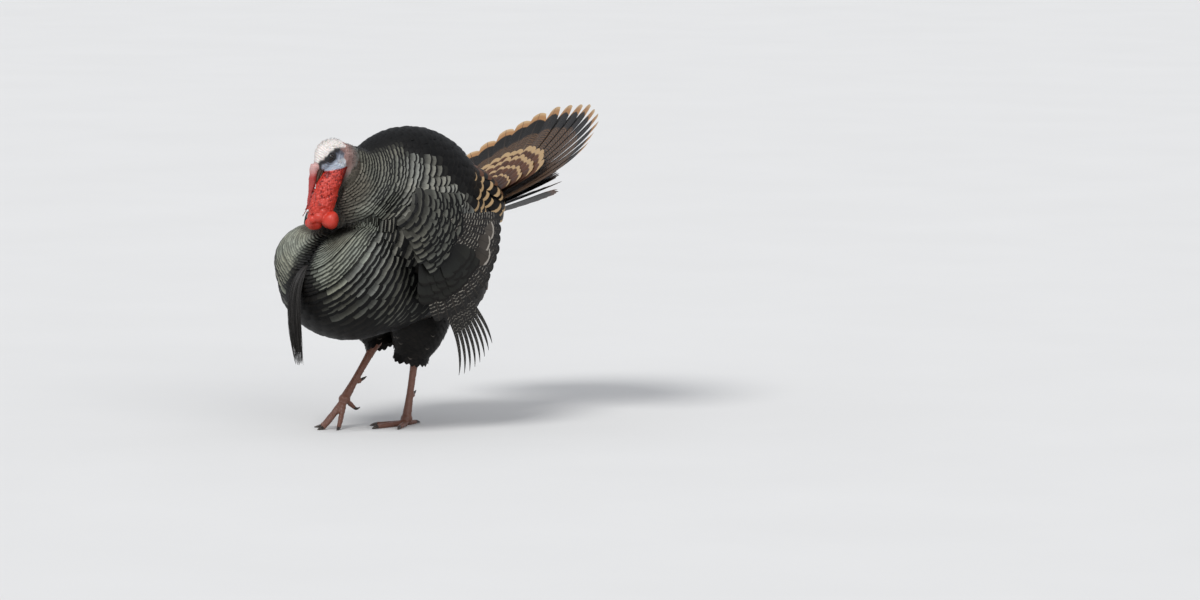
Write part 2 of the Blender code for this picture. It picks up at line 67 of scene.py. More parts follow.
def curve(values, t):
    """A smooth line through evenly spaced numbers, at t from 0 to 1."""
    values = np.asarray(values, float)
    t = np.clip(np.asarray(t, float), 0.0, 1.0) * (len(values) - 1)
    i = np.minimum(t.astype(int), len(values) - 2)
    local = t - i
    padded = np.concatenate([values[:1], values, values[-1:]])
    a, b, c, d = (padded[i + k] for k in range(4))
    slope_b = np.where(i == 0, c - b, (c - a) / 2)
    slope_c = np.where(i == len(values) - 2, c - b, (d - b) / 2)
    square, cube = local**2, local**3
    return (
        (2 * cube - 3 * square + 1) * b
        + (cube - 2 * square + local) * slope_b
        + (3 * square - 2 * cube) * c
        + (cube - square) * slope_c
    )


def bell(value, middle, width):
    return np.exp(-(((value - middle) / width) ** 2))


def mixed(a, b, share):
    """a where share is 0 and b where it is 1."""
    return a * (1 - share) + b * share


def angle_steps(count):
    """Angles evenly spaced round a full turn."""
    return np.linspace(0, TURN, count, endpoint=False)


def bezier(points, t):
    points = [np.asarray(point, float) for point in points]
    t = np.asarray(t, float)[..., None]
    while len(points) > 1:
        points = [mixed(a, b, t) for a, b in zip(points, points[1:])]
    return points[0]


def wobble(points, size, seed):
    """Smooth noise of about -1 to 1, whose features are about this size."""
    draw = np.random.default_rng(seed)
    waves = 9
    ways = unit(draw.normal(size=(waves, 3))) * draw.uniform(0.6, 1.4, (waves, 1)) * (math.pi / size)
    phases = draw.uniform(0, TURN, waves)
    return np.sin(points @ ways.T + phases).sum(axis=-1) / math.sqrt(waves)


def wrinkles(across, spacing, points, sway, size, seed):
    """Lines this far apart in the direction of across, which sway by smooth noise."""
    return np.sin(across * TURN / spacing + sway * wobble(points, size, seed))


def blend_places(points, places, values, spread):
    """For each point, the values of the places near it, mixed softly over this distance."""
    away = ((points[:, None] - np.asarray(places, float)[None]) ** 2).sum(axis=-1)
    away = away - away.min(axis=1, keepdims=True)
    share = np.exp(-away / (2 * spread**2))
    share /= share.sum(axis=1, keepdims=True)
    return share @ np.asarray(values, float)


# ---------------------------------------------------------------- meshes


def new_mesh(name, points, faces):
    """An object from arrays of points and of faces, which all have as many corners."""
    faces = np.asarray(faces, np.int32)
    mesh = bpy.data.meshes.new(name)
    mesh.vertices.add(len(points))
    mesh.vertices.foreach_set("co", (np.asarray(points, float) - CENTRE).astype(np.float32).ravel())
    mesh.loops.add(faces.size)
    mesh.loops.foreach_set("vertex_index", faces.ravel())
    mesh.polygons.add(len(faces))
    mesh.polygons.foreach_set("loop_start", np.arange(0, faces.size, faces.shape[1], dtype=np.int32))
    mesh.update(calc_edges=True)
    mesh.shade_smooth()
    return show(name, mesh)


def show(name, data):
    made = bpy.data.objects.new(name, data)
    bpy.context.scene.collection.objects.link(made)
    return made


def vectors_of(items, key):
    found = np.empty(len(items) * 3, np.float32)
    items.foreach_get(key, found)
    return found.reshape(-1, 3).astype(float)


def points_of(obj):
    return vectors_of(obj.data.vertices, "co") + CENTRE


def move_points(obj, points):
    obj.data.vertices.foreach_set("co", (points - CENTRE).astype(np.float32).ravel())
    obj.data.update()


def mark(obj, name, values):
    """Stores a number or a colour for each vertex."""
    values = np.asarray(values, np.float32)
    kind, key = "FLOAT", "value"
    if values.ndim == 2:
        kind, key = "FLOAT_COLOR", "color"
        values = np.concatenate([values, np.ones((len(values), 1), np.float32)], axis=1)
    obj.data.attributes.new(name, kind, "POINT").data.foreach_set(key, values.ravel())


def give_uv(obj, per_point):
    layer = obj.data.uv_layers.new(name="OFBake")
    corners = np.empty(len(obj.data.loops), np.int32)
    obj.data.loops.foreach_get("vertex_index", corners)
    layer.data.foreach_set("uv", np.asarray(per_point, np.float32)[corners].ravel())


def grid_faces(rows, columns, wrap=False):
    """Quads of a grid of points stored row by row; wrap joins the last column to the first."""
    wide = columns if wrap else columns - 1
    row, column = np.meshgrid(np.arange(rows - 1) * columns, np.arange(wide), indexing="ij")
    beside = (column + 1) % columns
    above = row + columns
    return np.stack([row + column, row + beside, above + beside, above + column], axis=-1).reshape(-1, 4)


def capped(rings, sides):
    """Triangles of a grid of rings, closed by the two points that follow it."""
    quads = grid_faces(rings, sides, wrap=True)
    i = np.arange(sides)
    j = (i + 1) % sides
    first, last, top = rings * sides, rings * sides + 1, (rings - 1) * sides
    low = np.stack([np.full(sides, first), j, i], axis=1)
    high = np.stack([np.full(sides, last), top + i, top + j], axis=1)
    return np.concatenate([quads[:, [0, 1, 2]], quads[:, [0, 2, 3]], low, high])


def tube(path, widths, depths, sides, rings, side_axis=(1, 0, 0), ends=0.5):
    """Points and triangles of a closed tube with elliptical sections along path(t)."""
    t = np.linspace(0, 1, rings)
    centres = path(t)
    tangents = unit(path(np.minimum(t + STEP, 1)) - path(np.maximum(t - STEP, 0)))
    side_axis = np.asarray(side_axis, float)
    across = unit(side_axis - tangents * (tangents @ side_axis)[:, None])
    deep = np.cross(tangents, across)
    width, depth = curve(widths, t), curve(depths, t)
    turns = angle_steps(sides)
    ring = (
        centres[:, None]
        + across[:, None] * (width[:, None] * np.cos(turns))[..., None]
        + deep[:, None] * (depth[:, None] * np.sin(turns))[..., None]
    )
    dome = ends * np.minimum(width, depth)[[0, -1], None] * tangents[[0, -1]] * np.array([[-1], [1]])
    return np.concatenate([ring.reshape(-1, 3), centres[[0, -1]] + dome]), capped(rings, sides)


def ball(centre, radii, sides=20, rings=12):
    polar = np.linspace(0, math.pi, rings + 2)[1:-1, None]
    turns = angle_steps(sides)
    wide = np.sin(polar)
    ring = np.stack([wide * np.cos(turns), wide * np.sin(turns), -np.cos(polar) * np.ones(sides)], axis=-1)
    points = np.concatenate([ring.reshape(-1, 3), [(0, 0, -1), (0, 0, 1)]])
    return np.asarray(centre) + points * np.asarray(radii), capped(rings, sides)


def together(parts):
    """One set of points and triangles from several."""
    points, faces, start = [], [], 0
    for part_points, part_faces in parts:
        points.append(part_points)
        faces.append(np.asarray(part_faces) + start)
        start += len(part_points)
    return np.concatenate(points), np.concatenate(faces)


def apply_modifiers(obj):
    graph = bpy.context.evaluated_depsgraph_get()
    mesh = bpy.data.meshes.new_from_object(obj.evaluated_get(graph))
    old = obj.data
    obj.modifiers.clear()
    obj.data = mesh
    bpy.data.meshes.remove(old)
    obj.data.name = obj.name
    obj.data.shade_smooth()


def merged(name, parts, voxel, passes):
    """The overlapping closed parts made one surface of cells this size, and smoothed."""
    made = new_mesh(name, *together(parts))
    remesh = made.modifiers.new("one surface", "REMESH")
    remesh.mode = "VOXEL"
    remesh.voxel_size = voxel
    soften = made.modifiers.new("soften", "SMOOTH")
    soften.factor = 0.5
    soften.iterations = passes
    apply_modifiers(made)
    return made


def thin_out(obj, kept):
    """Fewer triangles where the surface is smooth."""
    fewer = obj.modifiers.new("fewer", "DECIMATE")
    fewer.ratio = kept
    apply_modifiers(obj)


def dress(obj, finish, slot, *nodes):
    """Gives a piece its material, its body and the CAD nodes that it stands for."""
    obj.data.materials.clear()
    obj.data.materials.append(finish)
    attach(obj, "root")
    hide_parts(*nodes)
    return obj


# ---------------------------------------------------------------- the body's outline, as in the CAD source

CORE = np.array((0.0, 0.02, 0.375))
BLEND = 7.0
NECK_POLE = unit((0.0, -0.62, 0.78))  # the neck's feathers and all behind them point away from here
BREAST_POLE = unit((0.0, -0.95, 0.31))  # those of the breast and belly from here, the top of the cleft
TRUNK_FORMS = (  # (centre, half sizes)
    ((0.000, -0.100, 0.312), (0.152, 0.135, 0.120)),
    ((0.000, 0.068, 0.428), (0.140, 0.192, 0.196)),
    ((0.000, 0.030, 0.300), (0.158, 0.180, 0.100)),
    ((0.000, 0.225, 0.450), (0.100, 0.080, 0.085)),
    ((0.000, 0.160, 0.315), (0.110, 0.100, 0.110)),
    ((0.072, -0.126, 0.354), (0.078, 0.086, 0.074)),
    ((-0.072, -0.126, 0.354), (0.078, 0.086, 0.074)),
    ((0.104, 0.015, 0.415), (0.076, 0.120, 0.095)),
    ((-0.104, 0.015, 0.415), (0.076, 0.120, 0.095)),
)
NECK_FORMS = (
    ((0.000, -0.084, 0.505), (0.060, 0.050, 0.085)),
    ((0.004, -0.098, 0.562), (0.036, 0.032, 0.030)),
)
CLEFT_DEPTH, CLEFT_WIDTH, CLEFT_HEIGHTS = 0.016, 0.015, (0.335, 0.455)


def outline_radius(directions, forms):
    """Distance from the core to the plumage's outline along each unit direction."""
    shape = directions.shape[:-1]
    directions = directions.reshape(-1, 3)
    low, high = np.zeros(len(directions)), np.full(len(directions), 0.6)
    for _ in range(18):
        middle = (low + high) / 2
        points = CORE + directions * middle[:, None]
        inside = (1 - (((points - centre) / half) ** 2).sum(axis=1) for centre, half in forms)
        field = sum(np.exp(BLEND * depth) for depth in inside)
        low, high = np.where(field > 1, middle, low), np.where(field > 1, high, middle)
    points = CORE + directions * low[:, None]
    reach = (CLEFT_HEIGHTS[1] - CLEFT_HEIGHTS[0]) / 2
    along = np.exp(-(((points[:, 2] - sum(CLEFT_HEIGHTS) / 2) / reach) ** 4))
    in_front = np.clip(-directions[:, 1] * 3, 0, 1)
    cleft = CLEFT_DEPTH * bell(points[:, 0], 0, CLEFT_WIDTH) * along * in_front
    return (low - cleft).reshape(shape)


def below_pole(pole):
    return np.cross((1.0, 0.0, 0.0), pole)


def shell(pole, forms=TRUNK_FORMS + NECK_FORMS):
    """The plumage's outline as a surface: polar angle from this pole, and turn about it from below."""
    below = below_pole(pole)

    def point(polar, turn):
        polar, turn = np.broadcast_arrays(np.asarray(polar, float), turn)
        flat = below * np.cos(turn)[..., None] + np.array((1.0, 0, 0)) * np.sin(turn)[..., None]
        ways = pole * np.cos(polar)[..., None] + flat * np.sin(polar)[..., None]
        return CORE + ways * outline_radius(ways, forms)[..., None]

    return point


def pole_angles(points, pole):
    """Polar angle and turn of each point about this pole, as shell() takes them."""
    ways = unit(points - CORE)
    return np.arccos(np.clip(ways @ pole, -1, 1)), np.arctan2(ways[:, 0], ways @ below_pole(pole))


class Sleeve:
    """The outside of a tube: along goes from 0 to its far end at 1, turn about its middle line."""

    def __init__(self, path, widths, depths):
        self.path, self.widths, self.depths = path, widths, depths

    def __call__(self, along, turn):
        along, turn = np.broadcast_arrays(np.asarray(along, float), turn)
        tangent = unit(self.path(along + STEP) - self.path(along - STEP))
        side = np.array((1.0, 0, 0))
        across = unit(side - tangent * (tangent @ side)[..., None])
        deep = np.cross(tangent, across)
        width, depth = curve(self.widths, along), curve(self.depths, along)
        return (
            self.path(along)
            + across * (width * np.cos(turn))[..., None]
            + deep * (depth * np.sin(turn))[..., None]
        )


# ---------------------------------------------------------------- feathers

FEATHER_SLOPE = 0.20  # how steeply the small feathers rise out of the skin, as a share of their length
FULL_LENGTH = 0.026  # shorter feathers stand out less, in proportion
UNEVEN = 0.0012  # range by which the tips of one coat stand out unevenly
OVERLAP = 1.3  # width of a feather over the room it has in its row
STATIONS = np.array((0.0, 0.25, 0.45, 0.60, 0.72, 0.82, 0.90, 0.96, 1.0))  # along a small feather
OUTLINES = {  # width of a feather along it, as a share of its widest
    "round": (0.50, 0.72, 0.90, 0.98, 1.0, 0.95, 0.80, 0.28),
    "square": (0.55, 0.80, 0.95, 1.0, 1.0, 1.0, 1.0, 0.84),
    "long": (0.30, 0.55, 0.75, 0.90, 1.0, 1.0, 0.92, 0.40),
    "tail": (0.18, 0.34, 0.50, 0.64, 0.78, 0.90, 0.98, 1.0, 0.60),
    "sickle": (0.60, 0.95, 1.0, 0.85, 0.62, 0.50, 0.42, 0.30, 0.06),
}


def feather_mesh(name, vanes, marks, roots, patch, columns=5, camber=0.10, tilt=0.0, sweep=0.35):
    """Feathers as one mesh. vanes are middle lines (n, s, 3), ways sideways and outward, half-widths (n, s).

    camber bends a vane's edges down, tilt raises one edge over the neighbour, and sweep sets the edges back
    at the tip, all as shares of the half-width. marks are numbers or colours, one a feather. roots are the
    feathers' places on the map, spread here over all of it; each fills a patch of this width and height.
    """
    spine, side, up, half = vanes
    count, stations = half.shape
    v = np.linspace(-1, 1, columns)
    along = np.gradient(spine, axis=1)
    b = np.linspace(0, 1, stations)
    lift = half[..., None] * (np.reshape(tilt, (-1, 1, 1)) * v - camber * v**2)
    back = half[..., None] * (sweep * b[None, :, None] ** 2 * v**2)
    points = (
        spine[:, :, None]
        + side[:, :, None] * (half[..., None] * v)[..., None]
        + up[:, :, None] * lift[..., None]
        - unit(along)[:, :, None] * back[..., None]
    )
    faces = grid_faces(stations, columns)
    if (np.cross(side, along) * up).sum() < 0:
        faces = faces[:, ::-1]
    per = stations * columns
    faces = (faces[None] + np.arange(count)[:, None, None] * per).reshape(-1, 4)
    made = new_mesh(name, points.reshape(-1, 3), faces)
    across = np.broadcast_to(v, (count, stations, columns))
    reach = np.linalg.norm(np.diff(spine, axis=1), axis=-1).cumsum(axis=1)
    reach = np.concatenate([np.zeros((count, 1)), reach], axis=1)
    share = np.broadcast_to((reach / reach[:, -1:])[..., None], across.shape)
    mark(made, "across", across.ravel())
    mark(made, "along", share.ravel())
    mark(made, "length", np.repeat(reach[:, -1], per))
    for key, values in marks.items():
        mark(made, key, np.repeat(np.asarray(values, float), per, axis=0))
    roots = np.asarray(roots, float)
    roots = (roots - roots.min(axis=0)) / np.maximum(np.ptp(roots, axis=0), 1e-6)
    corner = (0.01 + roots * (0.98 - np.asarray(patch)))[:, None, None]
    within = np.stack([across * 0.5 + 0.5, share], axis=-1)
    give_uv(made, (corner + within * patch).reshape(-1, 2))
    return made


def ring_roots(surface, rows, seed, messy=0.12):
    """Roots of feathers in rings on surface(along, turn), each as along, turn, length and width.

    rows are (along, length, width); neighbours stand a feather's width apart, each row shifted by half.
    """
    draw = np.random.default_rng(seed)
    found = []
    for k, (along, length, width) in enumerate(rows):
        turns = np.linspace(0.0, TURN, 181)
        steps = np.linalg.norm(np.diff(surface(along, turns), axis=0), axis=1)
        travelled = np.concatenate([[0], np.cumsum(steps)])
        count = max(int(round(travelled[-1] / width)), 3)
        places = (np.arange(count) + 0.25 + 0.5 * (k % 2) + draw.uniform(-messy, messy, count)) / count
        turn = np.interp(places * travelled[-1], travelled, turns)
        lengths = length * draw.uniform(0.92, 1.08, count)
        widths = width * draw.uniform(0.94, 1.06, count)
        found.append(np.stack([np.full(count, along), turn, lengths, widths], axis=1))
    return np.concatenate(found)


def lay(surface, roots, depth, proud, seed, outline="round", stations=STATIONS):
    """The vanes of feathers that lie along a surface: they start depth under it and end proud over it."""
    draw = np.random.default_rng(seed)
    along, turn, length, width = (roots[:, k, None] for k in range(4))
    pace = np.linalg.norm(surface(along + STEP, turn) - surface(along, turn), axis=-1) / STEP
    b = stations[None]
    ends = along + b * length / np.maximum(pace, 1e-4)
    spine = surface(ends, turn)
    ahead = surface(ends + STEP, turn) - spine
    side = unit(surface(ends, turn + STEP) - spine)
    up = unit(np.cross(side, ahead))
    if (up * (spine - spine.mean(axis=(0, 1)))).sum() < 0:
        up = -up
    small = np.minimum(1, length / FULL_LENGTH)
    proud = (proud + draw.uniform(-0.5, 0.5, (len(roots), 1)) * UNEVEN) * small
    shallow = np.minimum(depth, FEATHER_SLOPE * length)
    height = proud * b**1.5 - shallow * (1 - b) ** 1.2 - (depth - shallow) * (1 - b) ** 8
    half = 0.5 * OVERLAP * width * curve(OUTLINES[outline], stations)[None]
    return spine + up * height[..., None], side, up, half


# ---------------------------------------------------------------- materials


class Finish:
    """A Principled material and short calls that add nodes to it."""

    def __init__(self, name, roughness, specular=0.5):
        self.material = bpy.data.materials.new(name)
        self.material.use_nodes = True
        self.tree = self.material.node_tree
        self.shader = self.tree.nodes["Principled BSDF"]
        self.set(Roughness=roughness, Specular_IOR_Level=specular)

    def set(self, **values):
        self.fill(self.shader, {key.replace("_", " "): value for key, value in values.items()})

    def fill(self, node, values):
        for key, value in values.items():
            if isinstance(value, bpy.types.NodeSocket):
                self.tree.links.new(value, node.inputs[key])
            elif isinstance(value, tuple) and len(value) == 3 and node.inputs[key].type == "RGBA":
                node.inputs[key].default_value = (*value, 1.0)
            else:
                node.inputs[key].default_value = value

    def node(self, kind, inputs=(), **settings):
        made = self.tree.nodes.new("ShaderNode" + kind)
        for key, value in settings.items():
            setattr(made, key, value)
        self.fill(made, dict(inputs))
        return made

    def value(self, name):
        return self.node("Attribute", attribute_name=name).outputs["Fac"]

    def colour(self, name):
        return self.node("Attribute", attribute_name=name).outputs["Color"]

    def maths(self, operation, a, b=0.0, c=0.0):
        return self.node("Math", {0: a, 1: b, 2: c}, operation=operation).outputs[0]

    def times(self, a, b):
        return self.maths("MULTIPLY", a, b)

    def scaled(self, a, factor, plus):
        return self.maths("MULTIPLY_ADD", a, factor, plus)

    def off_shaft(self):
        """0 on a vane's middle line and 1 on its edges."""
        return self.maths("ABSOLUTE", self.value("across"))

    def metres(self):
        """Distance from a vane's root."""
        return self.times(self.value("along"), self.value("length"))

    def mix(self, share, a, b, how="MIX"):
        made = self.node("Mix", data_type="RGBA", blend_type=how)
        self.fill(made, {0: share, 6: a, 7: b})
        return made.outputs[2]

    def tint(self, share, colour, by):
        """The colour multiplied by another one, as far as this share."""
        return self.mix(share, colour, by, "MULTIPLY")

    def step(self, value, low, high):
        made = self.node("MapRange", interpolation_type="SMOOTHSTEP")
        self.fill(made, {0: value, 1: low, 2: high})
        return made.outputs[0]

    def noise(self, scale, detail=3.0):
        where = self.node("TexCoord").outputs["Object"]
        return self.node("TexNoise", {"Vector": where, "Scale": scale, "Detail": detail}).outputs["Fac"]

    def bands(self, metres, spacing):
        """A wave of -1 to 1 along a vane, which repeats at this spacing."""
        return self.maths("SINE", self.times(metres, TURN / spacing))

    def bump(self, height, strength, distance):
        made = self.node("Bump", {"Height": height, "Strength": strength, "Distance": distance})
        self.set(Normal=made.outputs[0])


def grey(value):
    return (value, value, value)


BARB_SLANT = 0.0066  # metres by which the lines shift along a vane from its shaft to its edge


def barbs(finish, fineness):
    """The fine lines of a vane: 0 to 1, slanting from its shaft to its edges."""
    slanted = finish.times(finish.off_shaft(), -BARB_SLANT * fineness)
    place = finish.scaled(finish.metres(), fineness, slanted)
    waver = finish.scaled(finish.noise(60.0), 2.5, place)
    return finish.scaled(finish.maths("SINE", waver), 0.5, 0.5)


def shaft(finish, width=0.05):
    """1 on the shaft in the middle of a vane."""
    return finish.step(finish.off_shaft(), width, width * 0.4)


def plumage_finish():
    """Bronze-grey vanes whose outer ends turn to the colour of their rims."""
    finish = Finish("plumage", 0.48, 0.16)
    along = finish.value("along")
    ragged = finish.scaled(finish.noise(260.0, 2.0), 0.05, -0.025)
    curved = finish.scaled(finish.maths("POWER", finish.off_shaft(), 2.0), 0.045, along)
    reach = finish.maths("SUBTRACT", finish.maths("ADD", curved, ragged), finish.value("edge_from"))
    rim = finish.step(reach, -0.012, 0.022)
    # Each vane darkens towards its root: partly the feather's own dark base, partly painted shade of the
    # gaps between overlapping feathers.
    root = finish.scaled(finish.step(along, 0.50, 0.86), -0.66, 0.66)
    ground = finish.mix(root, finish.colour("ground"), grey(0.006))
    sheen = finish.step(finish.noise(11.0, 2.0), 0.35, 0.65)
    ground = finish.tint(finish.times(sheen, 0.30), ground, (1.0, 0.80, 0.56))
    lines = barbs(finish, 5200.0)
    ground = finish.tint(finish.times(lines, 0.18), ground, grey(0.45))
    ground = finish.mix(finish.times(shaft(finish), 0.35), ground, (0.012, 0.011, 0.010))
    finish.set(Base_Color=finish.mix(rim, ground, finish.colour("edge")), Metallic=0.10)
    finish.bump(lines, 0.22, 0.0004)
    return finish.material


def flight_finish():
    """Blackish quills crossed by broken white bars."""
    finish = Finish("flight", 0.46, 0.22)
    slanted = finish.scaled(finish.off_shaft(), -0.006, finish.metres())
    shifted = finish.scaled(finish.value("rand"), 0.05, slanted)
    waver = finish.scaled(finish.noise(90.0), 0.004, shifted)
    bars = finish.step(finish.bands(waver, 0.0080), 0.35, 0.80)
    broken = finish.step(finish.noise(170.0, 2.0), 0.40, 0.56)
    inner = finish.step(finish.off_shaft(), 0.06, 0.16)
    tip = finish.step(finish.value("along"), 0.98, 0.80)
    white = finish.times(finish.times(bars, broken), finish.times(inner, tip))
    white = finish.times(white, finish.value("bars"))
    lines = barbs(finish, 4200.0)
    ground = finish.mix(finish.times(lines, 0.35), finish.colour("ground"), grey(0.003))
    colour = finish.mix(white, ground, (0.24, 0.22, 0.185))
    quill = finish.times(shaft(finish, 0.07), 0.6)
    finish.set(Base_Color=finish.mix(quill, colour, (0.05, 0.04, 0.03)))
    finish.bump(lines, 0.3, 0.0004)
    return finish.material


def tail_finish():
    """Brown feathers with fine wavy bars, a black band near the tip and a buff rim."""
    finish = Finish("tail", 0.50, 0.25)
    along = finish.value("along")
    reach = finish.scaled(finish.maths("POWER", finish.off_shaft(), 2.0), 0.020, along)
    reach = finish.scaled(finish.noise(120.0), 0.016, finish.maths("SUBTRACT", reach, 0.008))
    waver = finish.scaled(finish.noise(75.0), 0.010, finish.times(reach, finish.value("length")))
    shifted = finish.scaled(finish.value("rand"), 0.05, waver)
    bars = finish.step(finish.bands(shifted, 0.0062), -0.1, 0.75)
    brown = finish.mix(bars, (0.030, 0.019, 0.012), (0.135, 0.072, 0.036))
    black = finish.step(reach, 0.775, 0.795)
    buff = finish.step(reach, 0.925, 0.940)
    pale = finish.mix(finish.step(along, 0.955, 1.0), (0.36, 0.185, 0.075), (0.52, 0.36, 0.20))
    colour = finish.mix(buff, finish.mix(black, brown, (0.006, 0.005, 0.004)), pale)
    lines = barbs(finish, 3400.0)
    colour = finish.tint(finish.times(lines, 0.30), colour, grey(0.5))
    quill = finish.mix(finish.step(along, 0.2, 0.9), (0.42, 0.34, 0.24), (0.03, 0.02, 0.015))
    finish.set(Base_Color=finish.mix(shaft(finish, 0.035), colour, quill))
    finish.bump(lines, 0.3, 0.0005)
    return finish.material


def skin_finish():
    """The bare skin of head and feet, coloured by the mesh's own marks, with fine grain and blotches."""
    finish = Finish("skin", 0.42, 0.45)
    fine = finish.noise(700.0, 4.0)
    blotch = finish.noise(130.0)
    shade = finish.times(finish.scaled(blotch, 0.9, -0.18), 0.35)
    colour = finish.tint(shade, finish.colour("tone"), (0.55, 0.50, 0.50))
    colour = finish.tint(finish.step(fine, 0.62, 0.35), colour, (0.86, 0.84, 0.84))
    # Painted shade: the grooves between the caruncles are darkened towards deep red.
    colour = finish.tint(finish.value("groove_shade"), colour, (0.34, 0.10, 0.10))
    finish.set(Base_Color=colour, Subsurface_Weight=0.10, Subsurface_Scale=0.004)
    finish.set(Subsurface_Radius=(1.0, 0.35, 0.2))
    finish.bump(finish.scaled(fine, 0.5, blotch), 0.35, 0.0006)
    return finish.material


def horn_finish(name, base, tip):
    """Bill, claw and spur: fine grain, and the tip's colour towards the tip."""
    finish = Finish(name, 0.32, 0.5)
    grain = finish.noise(420.0, 4.0)
    colour = finish.mix(finish.step(finish.value("along"), 0.2, 0.95), base, tip)
    finish.set(Base_Color=finish.tint(finish.step(grain, 0.35, 0.7), colour, (0.55, 0.52, 0.48)))
    finish.bump(grain, 0.25, 0.0003)
    return finish.material


def eye_finish():
    """Brown iris round a black pupil, under a wet gloss; gaze is 0 in front and 1 at the back."""
    finish = Finish("eye", 0.12, 0.2)
    gaze = finish.value("gaze")
    iris = finish.mix(finish.noise(1400.0, 2.0), (0.009, 0.005, 0.003), (0.030, 0.014, 0.007))
    colour = finish.mix(finish.step(gaze, 0.19, 0.16), iris, grey(0.001))
    colour = finish.mix(finish.step(gaze, 0.27, 0.31), colour, (0.004, 0.003, 0.003))
    finish.set(Base_Color=colour, Coat_Weight=0.5, Coat_Roughness=0.03)
    return finish.material


def bristle_finish():
    """Coarse dark hairs with paler roots."""
    finish = Finish("bristle", 0.45, 0.25)
    colour = finish.mix(finish.value("along"), (0.030, 0.028, 0.027), grey(0.006))
    colour = finish.mix(finish.times(finish.value("rand"), 0.7), colour, (0.075, 0.068, 0.062))
    finish.set(Base_Color=finish.mix(finish.noise(220.0), colour, (0.010, 0.009, 0.008)))
    return finish.material


# ---------------------------------------------------------------- coat of the body

BLACK = (0.0022, 0.0022, 0.0022)
SOOT = (0.007, 0.006, 0.005)
GREY = (0.165, 0.172, 0.146)
ASH = (0.110, 0.114, 0.098)
OLIVE = (0.255, 0.272, 0.225)
SILVER = (0.215, 0.221, 0.198)
BROWN = (0.014, 0.011, 0.008)
SLATE = (0.015, 0.016, 0.014)
SLEEK = (0.120, 0.114, 0.094)
SLEEK_RIM = (0.062, 0.058, 0.048)
NECK_DOWN = (0.090, 0.084, 0.068)
NAPE_DOWN = (0.095, 0.070, 0.058)
TERTIAL = (0.066, 0.058, 0.050)
CHESTNUT = (0.091, 0.036, 0.017)
BUFF = (0.430, 0.290, 0.150)
PLUMAGE = (  # (colour, colour of the rim, share of the feather where the rim starts, places of that look)
    (GREY, BLACK, 0.82, (0.064, -0.067, 0.534)),  # side of the neck
    (SOOT, BLACK, 0.90, (0.000, -0.040, 0.560)),  # back of the neck
    (SLEEK, SLEEK_RIM, 0.93,  # beside the wattles
     (0.050, -0.150, 0.470), (0.045, -0.115, 0.515), (0.060, -0.118, 0.480),
     (0.030, -0.150, 0.450)),
    (OLIVE, SOOT, 0.93,  # top of the breast, middle of the breast's side
     (0.065, -0.103, 0.450), (0.106, -0.191, 0.391)),
    (OLIVE, SOOT, 0.94, (0.040, -0.210, 0.400)),
    (SILVER, BLACK, 0.84, (0.145, -0.110, 0.400)),  # outer breast
    (OLIVE, BLACK, 0.84, (0.075, -0.218, 0.329)),  # lower breast
    (SILVER, BLACK, 0.80, (0.125, -0.160, 0.330)),
    (ASH, BLACK, 0.80, (0.101, -0.187, 0.267), (0.148, -0.091, 0.284), (0.150, -0.010, 0.250)),  # flank
    (SOOT, BLACK, 0.70, (0.030, -0.225, 0.300)),  # behind the beard
    (BLACK, BLACK, 0.90, (0.000, -0.200, 0.380)),  # the cleft, painted black as its shade
    (SOOT, BLACK, 0.85, (0.079, -0.153, 0.225)),  # belly
    (BLACK, BLACK, 0.90, (0.060, 0.000, 0.190)),
    (SOOT, BLACK, 0.85, (0.120, 0.050, 0.230)),
    (BLACK, BLACK, 0.90, (0.026, -0.030, 0.600)),  # back
    (BLACK, SOOT, 0.96, (0.000, 0.050, 0.620), (0.072, 0.034, 0.592)),
    (BLACK, SOOT, 0.94, (0.060, 0.150, 0.570), (0.118, 0.110, 0.532)),
    (GREY, BLACK, 0.79, (0.060, -0.040, 0.568), (0.079, -0.082, 0.490)),  # shoulder feathers
    (SILVER, BLACK, 0.86, (0.108, 0.010, 0.540)),
    (SILVER, BLACK, 0.88, (0.119, -0.010, 0.500), (0.142, 0.065, 0.490)),
    (SILVER, BLACK, 0.80, (0.172, -0.001, 0.440)),
    (BROWN, SOOT, 0.90, (0.164, 0.035, 0.359)),
    (BLACK, BUFF, 0.86, (0.097, 0.214, 0.478)),  # rump
    (SOOT, CHESTNUT, 0.80, (0.040, 0.250, 0.520)),
    (BROWN, BUFF, 0.90, (0.092, 0.234, 0.413)),
    (BROWN, CHESTNUT, 0.88, (0.050, 0.240, 0.330)),
    (SOOT, BROWN, 0.88, (0.080, 0.150, 0.260)),
)
PLUMAGE_SPREAD = 0.014  # distance over which the looks of two places blend
UPPER_ROWS = (  # (polar angle where such rows start and their spacing in degrees, width of a feather)
    (12, 1.2, 0.0090),
    (20, 1.5, 0.0115),
    (27, 2.0, 0.0145),
    (34, 2.6, 0.0180),
    (42, 3.6, 0.0230),
    (60, 3.4, 0.0240),
    (80, 5.0, 0.0280),
    (150, 5.2, 0.0240),
)
BREAST_ROWS = (
    (6, 1.15, 0.0100),
    (24, 1.7, 0.0150),
    (34, 2.8, 0.0240),
    (44, 3.9, 0.0310),
)
BREAST_RIMS = (  # (polar angle in degrees, start of the rim)
    (6, 0.950),
    (22, 0.920),
    (29, 0.840),
    (38, 0.770),
    (90, 0.750),
)
COAT_DEPTH = 0.008  # how far the coat's roots lie under the outline
COAT_PROUD = 0.0015  # how far its tips stand over it
CREASE_SHADE = 0.85  # painted shade: how far feathers in the crease between neck and breast are darkened
DEGREE_ARC = 0.0035  # length of a degree on the plumage's outline
BREAST_TOP, BREAST_SLOPE = 0.434, 1.25  # where the breast's coat ends: its height in front, and how it falls
LOBE_RISE = 0.35  # how steeply that edge climbs from the cleft to the top of each lobe
BREAST_PUFF = 0.004  # how far the breast's upper edge stands over the neck and the wing


